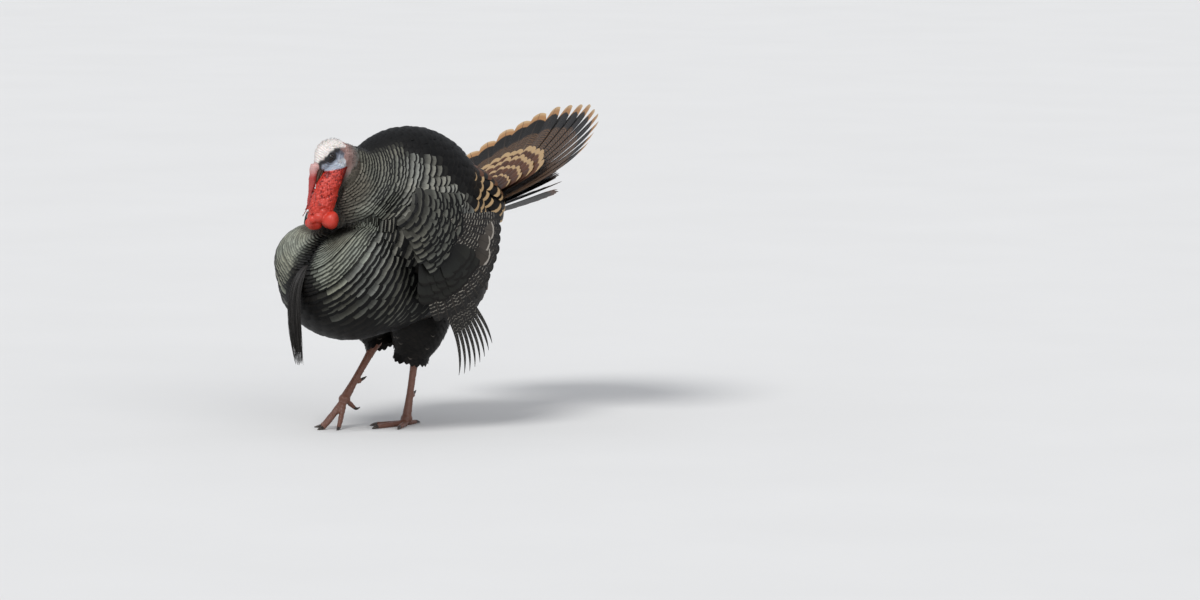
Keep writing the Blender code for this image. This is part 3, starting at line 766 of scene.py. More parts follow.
def coat_rows(kinds, last):
    """(polar angle, length, width) of each ring of the coat's feathers."""
    rows = []
    polar = kinds[0][0]
    while polar < last:
        spacing, width = [(row[1], row[2]) for row in kinds if row[0] <= polar][-1]
        rows.append((math.radians(polar), 2.7 * spacing * DEGREE_ARC, width))
        polar += spacing
    return rows


def plumage_marks(places, seed):
    """The marks of feathers rooted at these places: colours, the rim's start and a number of their own."""
    draw = np.random.default_rng(seed)
    sites = [site for _, _, _, *near in PLUMAGE for site in near]
    values = [(*ground, *edge, start) for ground, edge, start, *near in PLUMAGE for _ in near]
    sided = np.abs(places) * (1, 0, 0) + places * (0, 1, 1)
    looks = blend_places(sided, sites, values, PLUMAGE_SPREAD)
    tone = draw.uniform(0.72, 1.25, (len(places), 1))
    return {
        "ground": looks[:, 0:3] * tone,
        "edge": looks[:, 3:6],
        "edge_from": looks[:, 6] + draw.uniform(-0.012, 0.012, len(places)),
        "rand": draw.random(len(places)),
    }


def vane_marks(draw, count, ground, edge, edge_from, tones):
    """The marks of feathers of one look, each lighter or darker within these bounds."""
    return {
        "ground": np.asarray(ground) * draw.uniform(*tones, (count, 1)),
        "edge": np.broadcast_to(edge, (count, 3)),
        "edge_from": np.full(count, edge_from),
        "rand": draw.random(count),
    }


def throat_axis(t):
    return bezier((THROAT_TOP, (-0.005, -0.160, 0.500), (-0.005, -0.173, 0.452)), t)


def away_from(path, points, steps=40):
    """Distance of each point from the curve path(t)."""
    line = path(np.linspace(0, 1, steps))
    return np.sqrt(((points[:, None] - line[None]) ** 2).sum(axis=-1)).min(axis=1)


def under_breast_edge(places):
    """How far each place lies under the upper edge of the breast's coat."""
    top = BREAST_TOP + LOBE_RISE * np.clip(np.abs(places[:, 0]) - 0.015, 0, 0.060)
    return top - BREAST_SLOPE * np.maximum(places[:, 1] + 0.10, 0) - places[:, 2]


def lay_coat(name, surface, roots, proud, seed, finish, dark, rims=None, sweep=0.18, patch=(0.007, 0.016)):
    """One coat over this surface; dark is painted shade, the share by which each feather is darkened, rims
    where its rim starts.
    """
    vanes = lay(surface, roots, COAT_DEPTH, proud[:, None], seed, "square")
    marks = plumage_marks(vanes[0][:, 5], seed)
    marks["ground"] *= 1 - dark[:, None]
    if rims is not None:
        marks["edge_from"] = rims
        dim = smooth(34, 22, np.degrees(roots[:, :1]))
        marks["edge"] = mixed(marks["edge"], marks["ground"] * 0.42, dim)
    made = feather_mesh(name, vanes, marks, roots[:, [1, 0]], patch, sweep=sweep)
    dress(made, finish, "bronze_feathers")


def breast_coat(finish):
    """The breast's feathers, which end under the crease between it and the neck."""
    surface = shell(BREAST_POLE)
    roots = ring_roots(surface, coat_rows(BREAST_ROWS, 88), seed=11)
    places = surface(roots[:, 0], roots[:, 1])
    under = under_breast_edge(places)
    kept = (under > 0.007) & (away_from(throat_axis, places) > 0.024)
    roots, under, places = roots[kept], under[kept], places[kept]
    roots[:, 2] *= 0.50 + 0.50 * smooth(0.0, 0.045, under)
    proud = COAT_PROUD + BREAST_PUFF * smooth(0.055, 0.0, under) * smooth(0.07, 0.0, places[:, 1])
    rims = np.interp(np.degrees(roots[:, 0]), *zip(*BREAST_RIMS))
    # Painted shade: the last few millimetres of the breast's coat under the crease are darkened.
    shaded = CREASE_SHADE * smooth(0.018, 0.009, under)
    lay_coat("coat_breast", surface, roots, proud, 21, finish, shaded, rims, 0.10, (0.007, 0.020))


def back_coat(finish):
    """The feathers of neck, back and rump, which are short round the wattles and run under the breast's."""
    surface = shell(NECK_POLE)
    roots = ring_roots(surface, coat_rows(UPPER_ROWS, 172), seed=12)
    places = surface(roots[:, 0], roots[:, 1])
    under = under_breast_edge(places)
    bare = (away_from(throat_axis, places) < 0.031) | (away_from(head_axis, places) < 0.033)
    tail = (places[:, 1] > 0.262) & (np.abs(places[:, 2] - TAIL_ROOT[2]) < 0.03)
    tucked = 0.004 + 0.031 * smooth(-0.06, 0.0, places[:, 1])
    tucked += 0.014 * smooth(0.050, 0.025, np.abs(places[:, 0]))
    kept = ~(bare | tail | (under > tucked))
    roots, under, places = roots[kept], under[kept], places[kept]
    sunk = 0.009 * smooth(-0.025, 0.010, under)
    # Painted shade: the coat of the neck's front is darkened where it runs into the crease under the
    # breast's edge.
    shaded = CREASE_SHADE * smooth(-0.034, -0.004, under) * smooth(0.02, -0.03, places[:, 1])
    sleek = smooth(0.078, 0.046, away_from(throat_axis, places))
    roots[:, 2] *= 1 - 0.38 * sleek
    roots[:, 3] *= 1 - 0.25 * sleek
    lay_coat("coat_back", surface, roots, COAT_PROUD - 0.0012 * sleek - sunk, 22, finish, shaded)


def neck_down(finish):
    """Short hair-like feathers on the lower neck, between the bare head and the coat."""
    sleeve = Sleeve(neck_axis, NECK_WIDTHS, NECK_DEPTHS)
    rows = [(along, 0.011, 0.0026) for along in np.arange(0.13, 0.86, 0.016)]
    roots = ring_roots(sleeve, rows, seed=91, messy=0.3)
    places = sleeve(roots[:, 0], roots[:, 1])
    bare = (away_from(throat_axis, places) < 0.027) | (away_from(head_axis, places) < 0.031)
    covered = (shell(NECK_POLE)(*pole_angles(places, NECK_POLE)) - CORE) ** 2
    deep = np.sqrt(covered.sum(axis=1)) - np.linalg.norm(places - CORE, axis=1)
    roots = roots[~bare & (deep < 0.020)]
    vanes = lay(sleeve, roots, 0.0012, 0.0016, 92, stations=np.linspace(0, 1, 5))
    low = smooth(0.575, 0.535, vanes[0][:, 2, 2])[:, None]
    ground = mixed(np.array(NAPE_DOWN), np.array(NECK_DOWN), low)
    marks = vane_marks(np.random.default_rng(93), len(roots), ground, BLACK, 0.90, (0.55, 1.35))
    marks["edge"] = marks["ground"] * 0.55
    made = feather_mesh("coat_neck", vanes, marks, roots[:, [1, 0]], (0.006, 0.012), columns=3)
    dress(made, finish, "bronze_feathers")


def head_bristles(finish):
    """Sparse dark hairs on the nape, the back of the crown and the cheeks' rear edge."""
    draw = np.random.default_rng(95)
    sleeve = Sleeve(neck_axis, NECK_WIDTHS, NECK_DEPTHS)
    dome = Sleeve(head_axis, HEAD_WIDTHS, HEAD_DEPTHS)
    paths, radii = [], []
    for surface, count, low, high in ((sleeve, 420, -0.02, 0.22), (dome, 170, 0.02, 0.45)):
        along, turn = draw.uniform(low, high, count), draw.uniform(0, TURN, count)
        start = surface(along, turn)
        out = unit(start - surface(along, turn + math.pi))
        down = unit(surface(along + 0.02, turn) - start)
        if surface is dome:
            down = -down
        front = (head_place(start) @ np.array((1.0, 0.3, 0))) > 0.004
        keep = ~front & (away_from(throat_axis, start) > 0.030) & (head_place(start)[:, 1] < 0.034)
        for root, ahead, lift in zip(start[keep], down[keep], out[keep]):
            length = draw.uniform(0.003, 0.007)
            tip = root + ahead * length + lift * (0.30 * length) + draw.uniform(-0.0008, 0.0008, 3)
            bend = root + ahead * (0.4 * length) + lift * (0.35 * length)
            paths.append(lambda t, line=(root - lift * 0.001, bend, tip): bezier(line, t))
            radii.append(draw.uniform(0.00012, 0.00020))
    strands("head_bristles", paths, radii, 3, 4, finish, "black_feathers", [], 96)


# ---------------------------------------------------------------- thighs


def thigh_coat(finish):
    for side_name in SIDES:
        sleeve = Sleeve(thigh_axis(side_name), THIGH_WIDTHS, THIGH_DEPTHS)
        rows = [(along, 0.030, 0.014) for along in np.linspace(0.12, 0.93, 16)]
        roots = ring_roots(sleeve, rows, seed=31)
        vanes = lay(sleeve, roots, 0.006, 0.002, 32)
        draw = np.random.default_rng(33)
        pale = draw.random((len(roots), 1)) < 0.05
        edge = np.where(pale, (0.09, 0.08, 0.07), BLACK)
        marks = vane_marks(draw, len(roots), SOOT, edge, 0.93, (0.5, 1.4))
        made = feather_mesh(f"coat_thigh_{side_name}", vanes, marks, roots[:, [1, 0]], (0.02, 0.05))
        dress(made, finish, "black_feathers")


# ---------------------------------------------------------------- fans of large feathers


def fan(place, angles, root, reach, half, outline, stations, heights=0.0, bend=0.0):
    """The vanes of feathers that spread from one root at these angles.

    place(angle, distance, height) gives a point; bend turns each feather's far end by this angle.
    """
    angles, reach, half = np.broadcast_arrays(np.asarray(angles, float), reach, half)
    b = np.linspace(0, 1, stations)
    b = b + 0.12 * np.sin(math.pi * b) * b
    distance = root + (reach[:, None] - root) * b
    turn = angles[:, None] + bend * b**2
    heights = np.reshape(np.broadcast_to(heights, angles.shape), (-1, 1))
    spine = place(turn, distance, heights * np.ones_like(b))
    side = unit(place(turn + 0.004, distance, heights) - place(turn - 0.004, distance, heights))
    up = unit(place(turn, distance, heights + 0.001) - place(turn, distance, heights - 0.001))
    width = half[:, None] * curve(OUTLINES[outline], b)[None]
    return spine, side, up, np.minimum(width, np.maximum(distance, 0.02) * 0.5)


def columns_of(count):
    """Places side by side on the map, for feathers that are each as tall as it."""
    return np.stack([np.arange(count), np.zeros(count)], axis=1)


# ---------------------------------------------------------------- tail

TAIL_ROOT = np.array((0.0, 0.280, 0.442))
FAN_RADIUS = 0.325
FAN_RAISE = math.radians(33)
FAN_ROLL = math.radians(17)
FAN_DISH = 0.10  # how far the rim of the fan bends forward, as a share of its radius
TAIL_FEATHERS = 18
TAIL_SPREAD = 74  # degrees to each side of the middle
COVERT_SPREAD = 62


def tail_place(raised, lift):
    middle = np.array((0, math.cos(raised), math.sin(raised)))
    side = np.array((math.cos(FAN_ROLL), 0, math.sin(FAN_ROLL)))
    middle = unit(middle - side * (middle @ side))
    normal = np.cross(side, middle)

    def place(angle, distance, height):
        angle, distance, height = np.broadcast_arrays(angle, distance, height)
        flat = middle * np.cos(angle)[..., None] + side * np.sin(angle)[..., None]
        bend = FAN_DISH * (distance / FAN_RADIUS) ** 2 * distance
        return TAIL_ROOT + flat * distance[..., None] + normal * (lift + height + bend)[..., None]

    return place


def tail_feathers(draw, finish):
    count = TAIL_FEATHERS
    across = np.linspace(-1, 1, count)
    angles = np.radians(np.linspace(-TAIL_SPREAD, TAIL_SPREAD, count)) + draw.uniform(-0.012, 0.012, count)
    reach = FAN_RADIUS * (1 - 0.05 * across**2) * draw.uniform(0.985, 1.0, count)
    place = tail_place(FAN_RAISE, 0.0)
    vanes = fan(place, angles, 0.030, reach, 0.030, "tail", 26, -0.004 * np.abs(across))
    marks = {"rand": draw.random(count)}
    tilt = 0.10 * np.sign(across)
    made = feather_mesh("tail_feathers", vanes, marks, columns_of(count), (0.05, 0.97), 11, 0.06, tilt, 0.30)
    dress(made, finish, "tail_feathers", "tail_fan")


def tail_coverts(draw, finish, name, slot, node, way, colours, rows):
    """Rows of short feathers over or under the fan; a row is (number, raise, lift, reach, height)."""
    parts, roots = [], []
    for k, (number, raised, lift, far, height) in enumerate(rows):
        angles = np.radians(np.linspace(-COVERT_SPREAD, COVERT_SPREAD, number))
        angles += draw.uniform(-0.02, 0.02, number)
        reach = far * draw.uniform(0.96, 1.02, number)
        place, half = tail_place(raised, lift), 0.021 - 0.002 * k
        parts.append(fan(place, angles, 0.028, reach, half, "tail", 12, height))
        roots.append(np.stack([np.linspace(0, 1, number), np.full(number, float(k))], axis=1))
    spine, side, up, half = (np.concatenate(group) for group in zip(*parts))
    marks = vane_marks(draw, len(spine), *colours, 0.90, (0.7, 1.2))
    made = feather_mesh(name, (spine, side, up * way, half), marks, np.concatenate(roots), (0.055, 0.2), 7)
    dress(made, finish, slot, node)


def tail(finish, covert_finish):
    draw = np.random.default_rng(41)
    tail_feathers(draw, finish)
    top = [
        (15 - 2 * k, FAN_RAISE + 0.10, 0.0060, far, 0.0015 + 0.0025 * k)
        for k, far in enumerate((0.178, 0.150, 0.120, 0.090))
    ]
    below = [
        (13, FAN_RAISE - 0.50 + 0.12 * k, -0.0140 + 0.002 * k, far, 0.0)
        for k, far in enumerate((0.172, 0.178, 0.184, 0.190))
    ]
    for name, slot, node, way, colours, rows in (
        ("top", "chestnut_coverts", "upper", 1.0, (CHESTNUT, BUFF), top),
        ("below", "black_feathers", "under", -1.0, (SOOT, CHESTNUT), below),
    ):
        tail_coverts(
            draw, covert_finish, f"tail_coverts_{name}", slot, f"tail_coverts_{node}", way, colours, rows
        )


# ---------------------------------------------------------------- wings

WING_LIFTS = {"left": 0, "right": 14}  # degrees by which the quills' far ends are raised
WING_BACKS = {"left": 0.012, "right": 0.040}  # how far the wing sits back
PRIMARIES = 8
SECONDARIES = 14
WING_CORE = np.array((0.0, 0.030, 0.330))
WING_HALF = np.array((0.200, 0.380, 0.310))


def wing_place(side_name, root, out):
    side = SIDES[side_name]
    lift = math.radians(WING_LIFTS[side_name])

    def place(angle, distance, height):
        angle, distance, height = np.broadcast_arrays(angle, distance, height)
        y = root[0] + WING_BACKS[side_name] + distance * np.cos(angle + lift)
        z = root[1] + distance * np.sin(angle + lift)
        inside = 1 - ((y - WING_CORE[1]) / WING_HALF[1]) ** 2 - ((z - WING_CORE[2]) / WING_HALF[2]) ** 2
        x = WING_HALF[0] * np.sqrt(np.maximum(inside, 0.05)) + out + height
        return np.stack([side * x, y, z], axis=-1)

    return place


def flight_layer(layer, side_name, vanes, bars, draw, patch_width, finish):
    """One layer of quills, crossed by bars as strongly as bars says."""
    count = len(vanes[0])
    marks = {"ground": np.tile(SOOT, (count, 1)), "bars": np.full(count, bars), "rand": draw.random(count)}
    patch = (patch_width, 0.97)
    made = feather_mesh(f"wing_{layer}_{side_name}", vanes, marks, columns_of(count), patch, 7, tilt=0.1)
    dress(made, finish, "flight_feathers", f"{layer}_{side_name}")


def wings(flight, covert_finish):
    for side_name in SIDES:
        draw = np.random.default_rng(51)
        count = PRIMARIES
        place = wing_place(side_name, (-0.110, 0.398), -0.006)
        angles = np.radians(np.linspace(-53, -37, count))
        reach = 0.358 * (1 - 0.04 * np.linspace(-1, 1, count) ** 2)
        heights = np.linspace(-0.002, 0.003, count)
        vanes = fan(place, angles, 0.100, reach, 0.0085, "sickle", 24, heights, -0.06)
        flight_layer("primaries", side_name, vanes, 0.55, draw, 0.115, flight)

        count = SECONDARIES
        place = wing_place(side_name, (-0.075, 0.465), -0.001)
        angles = np.radians(np.linspace(-80, -10, count))
        reach = 0.236 * draw.uniform(0.985, 1.0, count)
        heights = np.interp(angles, np.radians((-80, -62, -10)), (-0.008, -0.001, 0.003))
        vanes = fan(place, angles, 0.060, reach, 0.017, "tail", 20, heights, 0.05)
        flight_layer("secondaries", side_name, vanes, 1.0, draw, 0.065, flight)

        wing_coverts(side_name, covert_finish)


def wing_coverts(side_name, finish):
    """Rows of short barred coverts over the arm, long dark ones below them and three broad inner quills."""
    draw = np.random.default_rng(52)
    shoulder = wing_place(side_name, (-0.150, 0.520), 0.003)
    arm = wing_place(side_name, (-0.080, 0.470), 0.003)
    kinds = []  # (place, angles, start, reach, half-width, height, outline), (ground, rim, start of the rim)
    for k, start in enumerate(np.arange(0.080, 0.180, 0.0085)):
        first, last = -66 + draw.uniform(-3, 3), -9
        number = int(math.radians(last - first) * (start + 0.02) / 0.020)
        shifted = (last - first) / number * (0.25 + 0.5 * (k % 2))
        angles = np.linspace(first, last, number + 1)[:-1] + shifted
        height = 0.0044 - 0.0003 * k - 0.0080 * float(smooth(0.118, 0.080, start))
        long = min(0.029, 0.010 + 0.006 * k)
        rim_start = 1 - 0.0046 / long
        shape = shoulder, angles, start, start + long, 0.0128, height, "square"
        kinds.append((shape, (ASH, BLACK, rim_start)))
    for k, start in enumerate((0.086, 0.108, 0.130)):
        angles = np.linspace(-86, -40, 7 + 2 * k)
        reach, height = start + 0.074 - 0.004 * k, 0.0014 - 0.0008 * k
        kinds.append(((arm, angles, start, reach, 0.018, height, "tail"), (SLATE, SOOT, 0.93)))
    tertials = np.array((-31.0, -23.0, -15.0))
    kinds.append(((arm, tertials, 0.115, 0.210, 0.024, 0.001, "tail"), (TERTIAL, (0.34, 0.31, 0.27), 0.960)))
    parts, roots, marks = [], [], {"ground": [], "edge": [], "edge_from": []}
    for k, (shape, (ground, rim, rim_start)) in enumerate(kinds):
        place, angles, start, reach, half, height, outline = shape
        number = len(angles)
        angles = np.radians(angles + draw.uniform(-1.2, 1.2, number))
        far = reach * draw.uniform(0.97, 1.03, number)
        sunk = 0.009 * smooth(math.radians(-56), math.radians(-84), angles)
        parts.append(fan(place, angles, start, far, half, outline, 12, height - sunk))
        spread = (angles - angles.min()) / max(np.ptp(angles), 0.01)
        roots.append(np.stack([spread, np.full(number, float(k))], axis=1))
        marks["ground"].append(np.tile(ground, (number, 1)) * draw.uniform(0.72, 1.2, (number, 1)))
        marks["edge"].append(np.tile(rim, (number, 1)))
        marks["edge_from"].append(np.full(number, rim_start))
    spine, side, up, half = (np.concatenate(group) for group in zip(*parts))
    marks = {key: np.concatenate(values) for key, values in marks.items()}
    marks["rand"] = draw.random(len(spine))
    slope = 0.008 * (1 - np.linspace(0, 1, spine.shape[1])) ** 1.2
    spine = spine - up * slope[None, :, None]
    vanes = spine, side, up, half
    patch = (0.05, 0.8 / len(kinds))
    made = feather_mesh(f"wing_coverts_{side_name}", vanes, marks, np.concatenate(roots), patch, sweep=0.12)
    dress(made, finish, "bronze_feathers", f"wing_{side_name}")


# ---------------------------------------------------------------- head

HEAD_MIDDLE = np.array((-0.003, -0.143, 0.573))
HEAD_YAW = math.radians(-38)
HEAD_PITCH = math.radians(-58)
FORWARD = np.array(
    (
        math.cos(HEAD_PITCH) * math.sin(HEAD_YAW),
        -math.cos(HEAD_PITCH) * math.cos(HEAD_YAW),
        math.sin(HEAD_PITCH),
    )
)
HEAD_LEFT = np.array((math.cos(HEAD_YAW), math.sin(HEAD_YAW), 0.0))
CROWN = np.cross(FORWARD, HEAD_LEFT)
EYE_RADIUS = 0.0066
EYE_OUT = 0.0142
EYE_OPENING = 0.0050  # half the gap between the lids
CROWN_BACK = 0.614 * CROWN - 0.789 * FORWARD  # the way that the flat back of the crown faces
HEAD_TOP = 0.0344  # how far it stands out from the middle
HEAD_FLATNESS = 0.85  # share of what is beyond it that is pressed flat
JAW_FORWARD, JAW_UP, JAW_OFFSET = 0.746, 0.666, 0.0265  # the line on the head under which it is red


def on_head(forward, up, left=0.0):
    """A point given by its distances from the middle of the head, between the eyes."""
    forward, up, left = np.broadcast_arrays(forward, up, left)
    return HEAD_MIDDLE + forward[..., None] * FORWARD + up[..., None] * CROWN + left[..., None] * HEAD_LEFT


def head_place(points):
    """The same distances of each point: forward, up and to the left."""
    return (points - HEAD_MIDDLE) @ np.stack([FORWARD, CROWN, HEAD_LEFT], axis=1)


HEAD_WIDTHS = (0.0110, 0.0175, 0.0195, 0.0190, 0.0170, 0.0130, 0.0090)
HEAD_DEPTHS = (0.0140, 0.0250, 0.0300, 0.0305, 0.0265, 0.0185, 0.0115)


def head_axis(t):
    t = np.asarray(t, float)
    return on_head(-0.033 + 0.066 * t, curve((-0.0080, 0.0000, 0.0055, 0.0085, 0.0085), t))


def neck_axis(t):
    return bezier((on_head(-0.014, -0.016), (0, -0.068, 0.572), (0, -0.092, 0.480), (0, -0.080, 0.400)), t)


def snood_axis(t):
    root = on_head(0.033, 0.0180)
    drops = ((0, 0, 0), (-0.004, -0.006, -0.014), (-0.003, -0.005, -0.060), (-0.005, -0.009, -0.084))
    return bezier([root + np.array(drop) for drop in (*drops, (-0.014, -0.022, -0.104))], t)


NECK_WIDTHS = (0.0205, 0.0310, 0.0390, 0.0420, 0.0440, 0.0450)
NECK_DEPTHS = (0.0225, 0.0290, 0.0360, 0.0400, 0.0420, 0.0440)
THROAT_TOP = on_head(0.006, -0.0200)
THROAT_WIDTHS = (0.0185, 0.0215, 0.0225, 0.0235, 0.0225)
THROAT_DEPTHS = (0.0150, 0.0205, 0.0235, 0.0240, 0.0200)
BULBS = (  # (centre, radius)
    ((0.021, -0.166, 0.444), 0.0180),
    ((-0.013, -0.180, 0.437), 0.0150),
    ((-0.024, -0.175, 0.450), 0.0125),
    ((-0.028, -0.182, 0.438), 0.0085),
    ((-0.005, -0.191, 0.445), 0.0075),
    ((0.006, -0.184, 0.450), 0.0105),
    ((0.010, -0.176, 0.462), 0.0100),
    ((-0.018, -0.178, 0.462), 0.0110),
    ((-0.027, -0.166, 0.463), 0.0100),
)
SNOOD_WIDTHS = (0.0100, 0.0088, 0.0078, 0.0066, 0.0050, 0.0032, 0.0014)

WHITE_SKIN = (0.80, 0.75, 0.71)
PALE_SKIN = (0.56, 0.42, 0.40)
PINK_SKIN = (0.42, 0.20, 0.16)
NAPE_SKIN = (0.28, 0.17, 0.15)
FACE_SKIN = (0.100, 0.110, 0.140)
BLUE_SKIN = (0.34, 0.38, 0.45)
PALE_BLUE = (0.62, 0.64, 0.67)
DARK_SKIN = (0.011, 0.010, 0.012)
RED_SKIN = (0.55, 0.040, 0.022)
NECK_SKIN = (0.105, 0.100, 0.086)
UNDER_COAT = (0.012, 0.011, 0.010)
SNOOD_ROOT = (0.60, 0.36, 0.34)
SNOOD_RED = (0.40, 0.05, 0.045)
LEG_SCALES = (0.210, 0.092, 0.060)
HEAD_TONES = (  # (colour, places of it on the head: forward, up and to the side)
    (
        WHITE_SKIN,
        (-0.041, 0.004, 0.000), (-0.036, -0.004, 0.013), (-0.030, 0.020, 0.000), (-0.027, 0.004, 0.017),
        (-0.010, 0.030, 0.008), (-0.013, 0.010, 0.018), (0.000, 0.013, 0.018), (0.012, 0.017, 0.016),
        (0.024, 0.022, 0.010), (0.016, 0.032, 0.000),
    ),
    (PALE_SKIN, (0.036, 0.024, 0.004)),
    (PINK_SKIN, (-0.047, -0.004, 0.000), (-0.044, -0.008, 0.012)),
    (
        NAPE_SKIN,
        (-0.042, -0.024, 0.000), (-0.036, -0.018, 0.018), (-0.026, -0.030, 0.022), (-0.026, -0.013, 0.020),
        (-0.018, -0.025, 0.022), (-0.009, -0.034, 0.024), (-0.012, -0.042, 0.024), (0.002, -0.044, 0.024),
    ),
    (
        DARK_SKIN,
        (0.008, 0.006, 0.017), (-0.009, 0.003, 0.018), (-0.018, -0.003, 0.019), (0.000, -0.005, 0.018),
        (0.018, 0.009, 0.014), (0.028, 0.012, 0.010), (0.036, 0.010, 0.006),
    ),
    (FACE_SKIN, (0.013, -0.004, 0.017), (-0.009, -0.007, 0.019), (-0.018, -0.012, 0.020)),
    (
        BLUE_SKIN,
        (0.024, 0.002, 0.012), (0.016, -0.010, 0.017), (0.004, -0.013, 0.019), (-0.010, -0.014, 0.020),
        (0.009, -0.022, 0.020),
    ),
    (PALE_BLUE, (-0.002, -0.022, 0.020)),
)


def redness(points):
    """1 on the red throat and its bulbs, 0 elsewhere."""
    forward, up, _ = head_place(points).T
    below_jaw = JAW_FORWARD * forward - JAW_UP * up - JAW_OFFSET
    under_bill = smooth(0.010, 0.022, forward) * smooth(-0.022, -0.012, up)
    under_bill *= smooth(0.0110, 0.0135, away_from(snood_axis, points))
    reach = 0.0205 + 0.0065 * smooth(0.550, 0.500, points[:, 2]) + 0.010 * under_bill
    throat = smooth(0.0015, -0.0010, away_from(throat_axis, points) - reach)
    throat *= smooth(-0.0015, 0.0020, below_jaw)
    return np.maximum(throat, smooth(1.7, 1.35, bulb_share(points)))


def bulb_share(points):
    """Distance from the nearest bulb's centre as a share of its radius."""
    shares = [np.linalg.norm(points - centre, axis=1) / radius for centre, radius in BULBS]
    return np.min(shares, axis=0)


def bump_sites():
    """Centres and radii of the small caruncles on the throat, larger lower down."""
    draw = np.random.default_rng(61)
    throat = Sleeve(throat_axis, THROAT_WIDTHS, THROAT_DEPTHS)
    sites = []
    for k, along in enumerate(np.linspace(-0.04, 0.98, 34)):
        count = int(34 - 14 * along)
        turns = (np.arange(count) + 0.5 * (k % 2) + draw.uniform(-0.2, 0.2, count)) / count * TURN
        turns = turns + 1.3 * along
        places = throat(along + draw.uniform(-0.010, 0.010, count), turns)
        radius = (0.0019 + 0.0019 * along) * draw.uniform(0.75, 1.45, count)
        sites.append(np.concatenate([places, radius[:, None]], axis=1))
    return np.concatenate(sites)


def domes(points, sites):
    """How far round bumps at these sites, (centre, radius), lift each point."""
    high = np.zeros(len(points))
    centres, radii = sites[None, :, :3], sites[None, :, 3]
    for start in range(0, len(points), 4000):
        some = slice(start, start + 4000)
        away = np.sqrt(((points[some, None] - centres) ** 2).sum(axis=-1))
        high[some] = (np.sqrt(np.clip(1 - (away / radii) ** 2, 0, 1)) * radii).max(axis=1)
    return high


def eye_distances(points):
    """How far out from the nearer eye's centre each point is, and how far off the line through it."""
    place = head_place(points)
    out = np.abs(place[:, 2]) - EYE_OUT
    off = np.hypot(place[:, 0] * 0.82, place[:, 1] * 1.12)
    return out, off


def shape_head(points, normals):
    """Wrinkles, lids, caruncles and folds of the head, as new places of its points."""
    beyond = (points - HEAD_MIDDLE) @ CROWN_BACK - HEAD_TOP
    points = points - CROWN_BACK * (HEAD_FLATNESS * np.maximum(beyond, 0))[:, None]
    place = head_place(points)
    forward, up, left = place.T
    lift = np.zeros(len(points))

    crown = smooth(0.004, 0.018, up) * smooth(0.034, 0.024, forward) * smooth(-0.045, -0.03, forward)
    lines = wrinkles(forward, 0.0048, points, 1.6, 0.010, 62)
    lift += crown * (0.00045 * lines + 0.0005 * wobble(points, 0.006, 63))

    cheek = smooth(0.006, 0.012, np.abs(left)) * smooth(0.016, 0.008, up) * smooth(0.032, 0.022, forward)
    round_eye = np.hypot(forward * 0.9, up)
    lift += cheek * 0.0005 * wrinkles(round_eye, 0.0042, points, 1.5, 0.008, 64)
    lift += cheek * 0.0012 * bell(round_eye, 0.0165, 0.0020) * smooth(0.006, -0.004, up)

    throat = redness(points) * smooth(1.05, 1.2, bulb_share(points))
    beads = domes(points, bump_sites())
    beads *= 0.35 + 0.50 * smooth(0.545, 0.500, points[:, 2])
    lift += throat * (beads + 0.0010 * wobble(points, 0.012, 68) - 0.0012)
    bulbs = smooth(1.4, 1.2, bulb_share(points))
    lift += bulbs * 0.0014 * wobble(points, 0.014, 69)

    snood = smooth(0.012, 0.008, away_from(snood_axis, points))
    snood *= smooth(0.560, 0.548, points[:, 2]) * (1 - bulbs)
    folds = wrinkles(points[:, 2], 0.0036, points, 3.0, 0.008, 65)
    lift += snood * (0.00028 * folds + 0.0006 * wobble(points, 0.007, 67))

    neck = smooth(-0.012, -0.022, forward) * (1 - throat)
    lift += neck * 0.0005 * wobble(points, 0.004, 66)

    out, off = eye_distances(points)
    near = smooth(0.020, 0.012, off) * smooth(-0.012, -0.004, out)
    lift -= near * 0.0012 * smooth(0.0165, 0.0105, off)
    lift += near * 0.0013 * bell(off, 0.0080, 0.0012)
    lift += near * 0.0007 * bell(off, 0.0118, 0.0009)
    moved = points + normals * lift[:, None]

    out, off = eye_distances(moved)
    rim = (np.abs(off - EYE_OPENING) < 0.0007) & (out > -0.004)
    in_plane = moved - HEAD_MIDDLE - (head_place(moved)[:, 2:] * HEAD_LEFT)
    moved[rim] += in_plane[rim] * (EYE_OPENING / off[rim] - 1)[:, None]
    out, off = eye_distances(moved)
    lidded = (off < 0.0074) & (out > -0.004)
    cover = np.sqrt(np.maximum((EYE_RADIUS + 0.0007) ** 2 - off**2, 0))
    inside = np.sqrt(np.maximum((EYE_RADIUS - 0.0012) ** 2 - off**2, 0))
    wanted = np.where(off < EYE_OPENING - 1e-5, inside, np.maximum(cover, out))
    shift = np.where(lidded, wanted - out, 0.0)
    side = np.sign(head_place(moved)[:, 2])
    return moved + HEAD_LEFT * (shift * side)[:, None]


# ---------------------------------------------------------------- legs

TOE_ROOTS = {"left": np.array((0.010, 0.055, 0.015)), "right": np.array((-0.058, -0.058, 0.060))}
SHANK_LEANS = {"left": np.array((0.025, 0.196, 0.980)), "right": np.array((-0.024, 0.707, 0.707))}
SHANK_LENGTH = 0.158
MIDDLE_TOE = 0.082
HOCKS = {side: root + unit(SHANK_LEANS[side]) * SHANK_LENGTH for side, root in TOE_ROOTS.items()}
TOES = (  # (name, heading off straight ahead towards the outside in degrees, length, radius)
    ("inner", -32, 0.76 * MIDDLE_TOE, 0.0064),
    ("middle", 0, MIDDLE_TOE, 0.0072),
    ("outer", 34, 0.80 * MIDDLE_TOE, 0.0064),
    ("hind", 190, 0.38 * MIDDLE_TOE, 0.0062),
)
TOE_LEVEL = 0.0042
THIGH_HANG = {"left": np.array((-0.002, -0.016, -0.020)), "right": np.array((0.004, -0.006, 0.004))}
STEP_REACH = 0.74
THIGH_WIDTHS = (0.050, 0.056, 0.058, 0.050, 0.0330)
THIGH_DEPTHS = (0.062, 0.066, 0.066, 0.056, 0.0400)


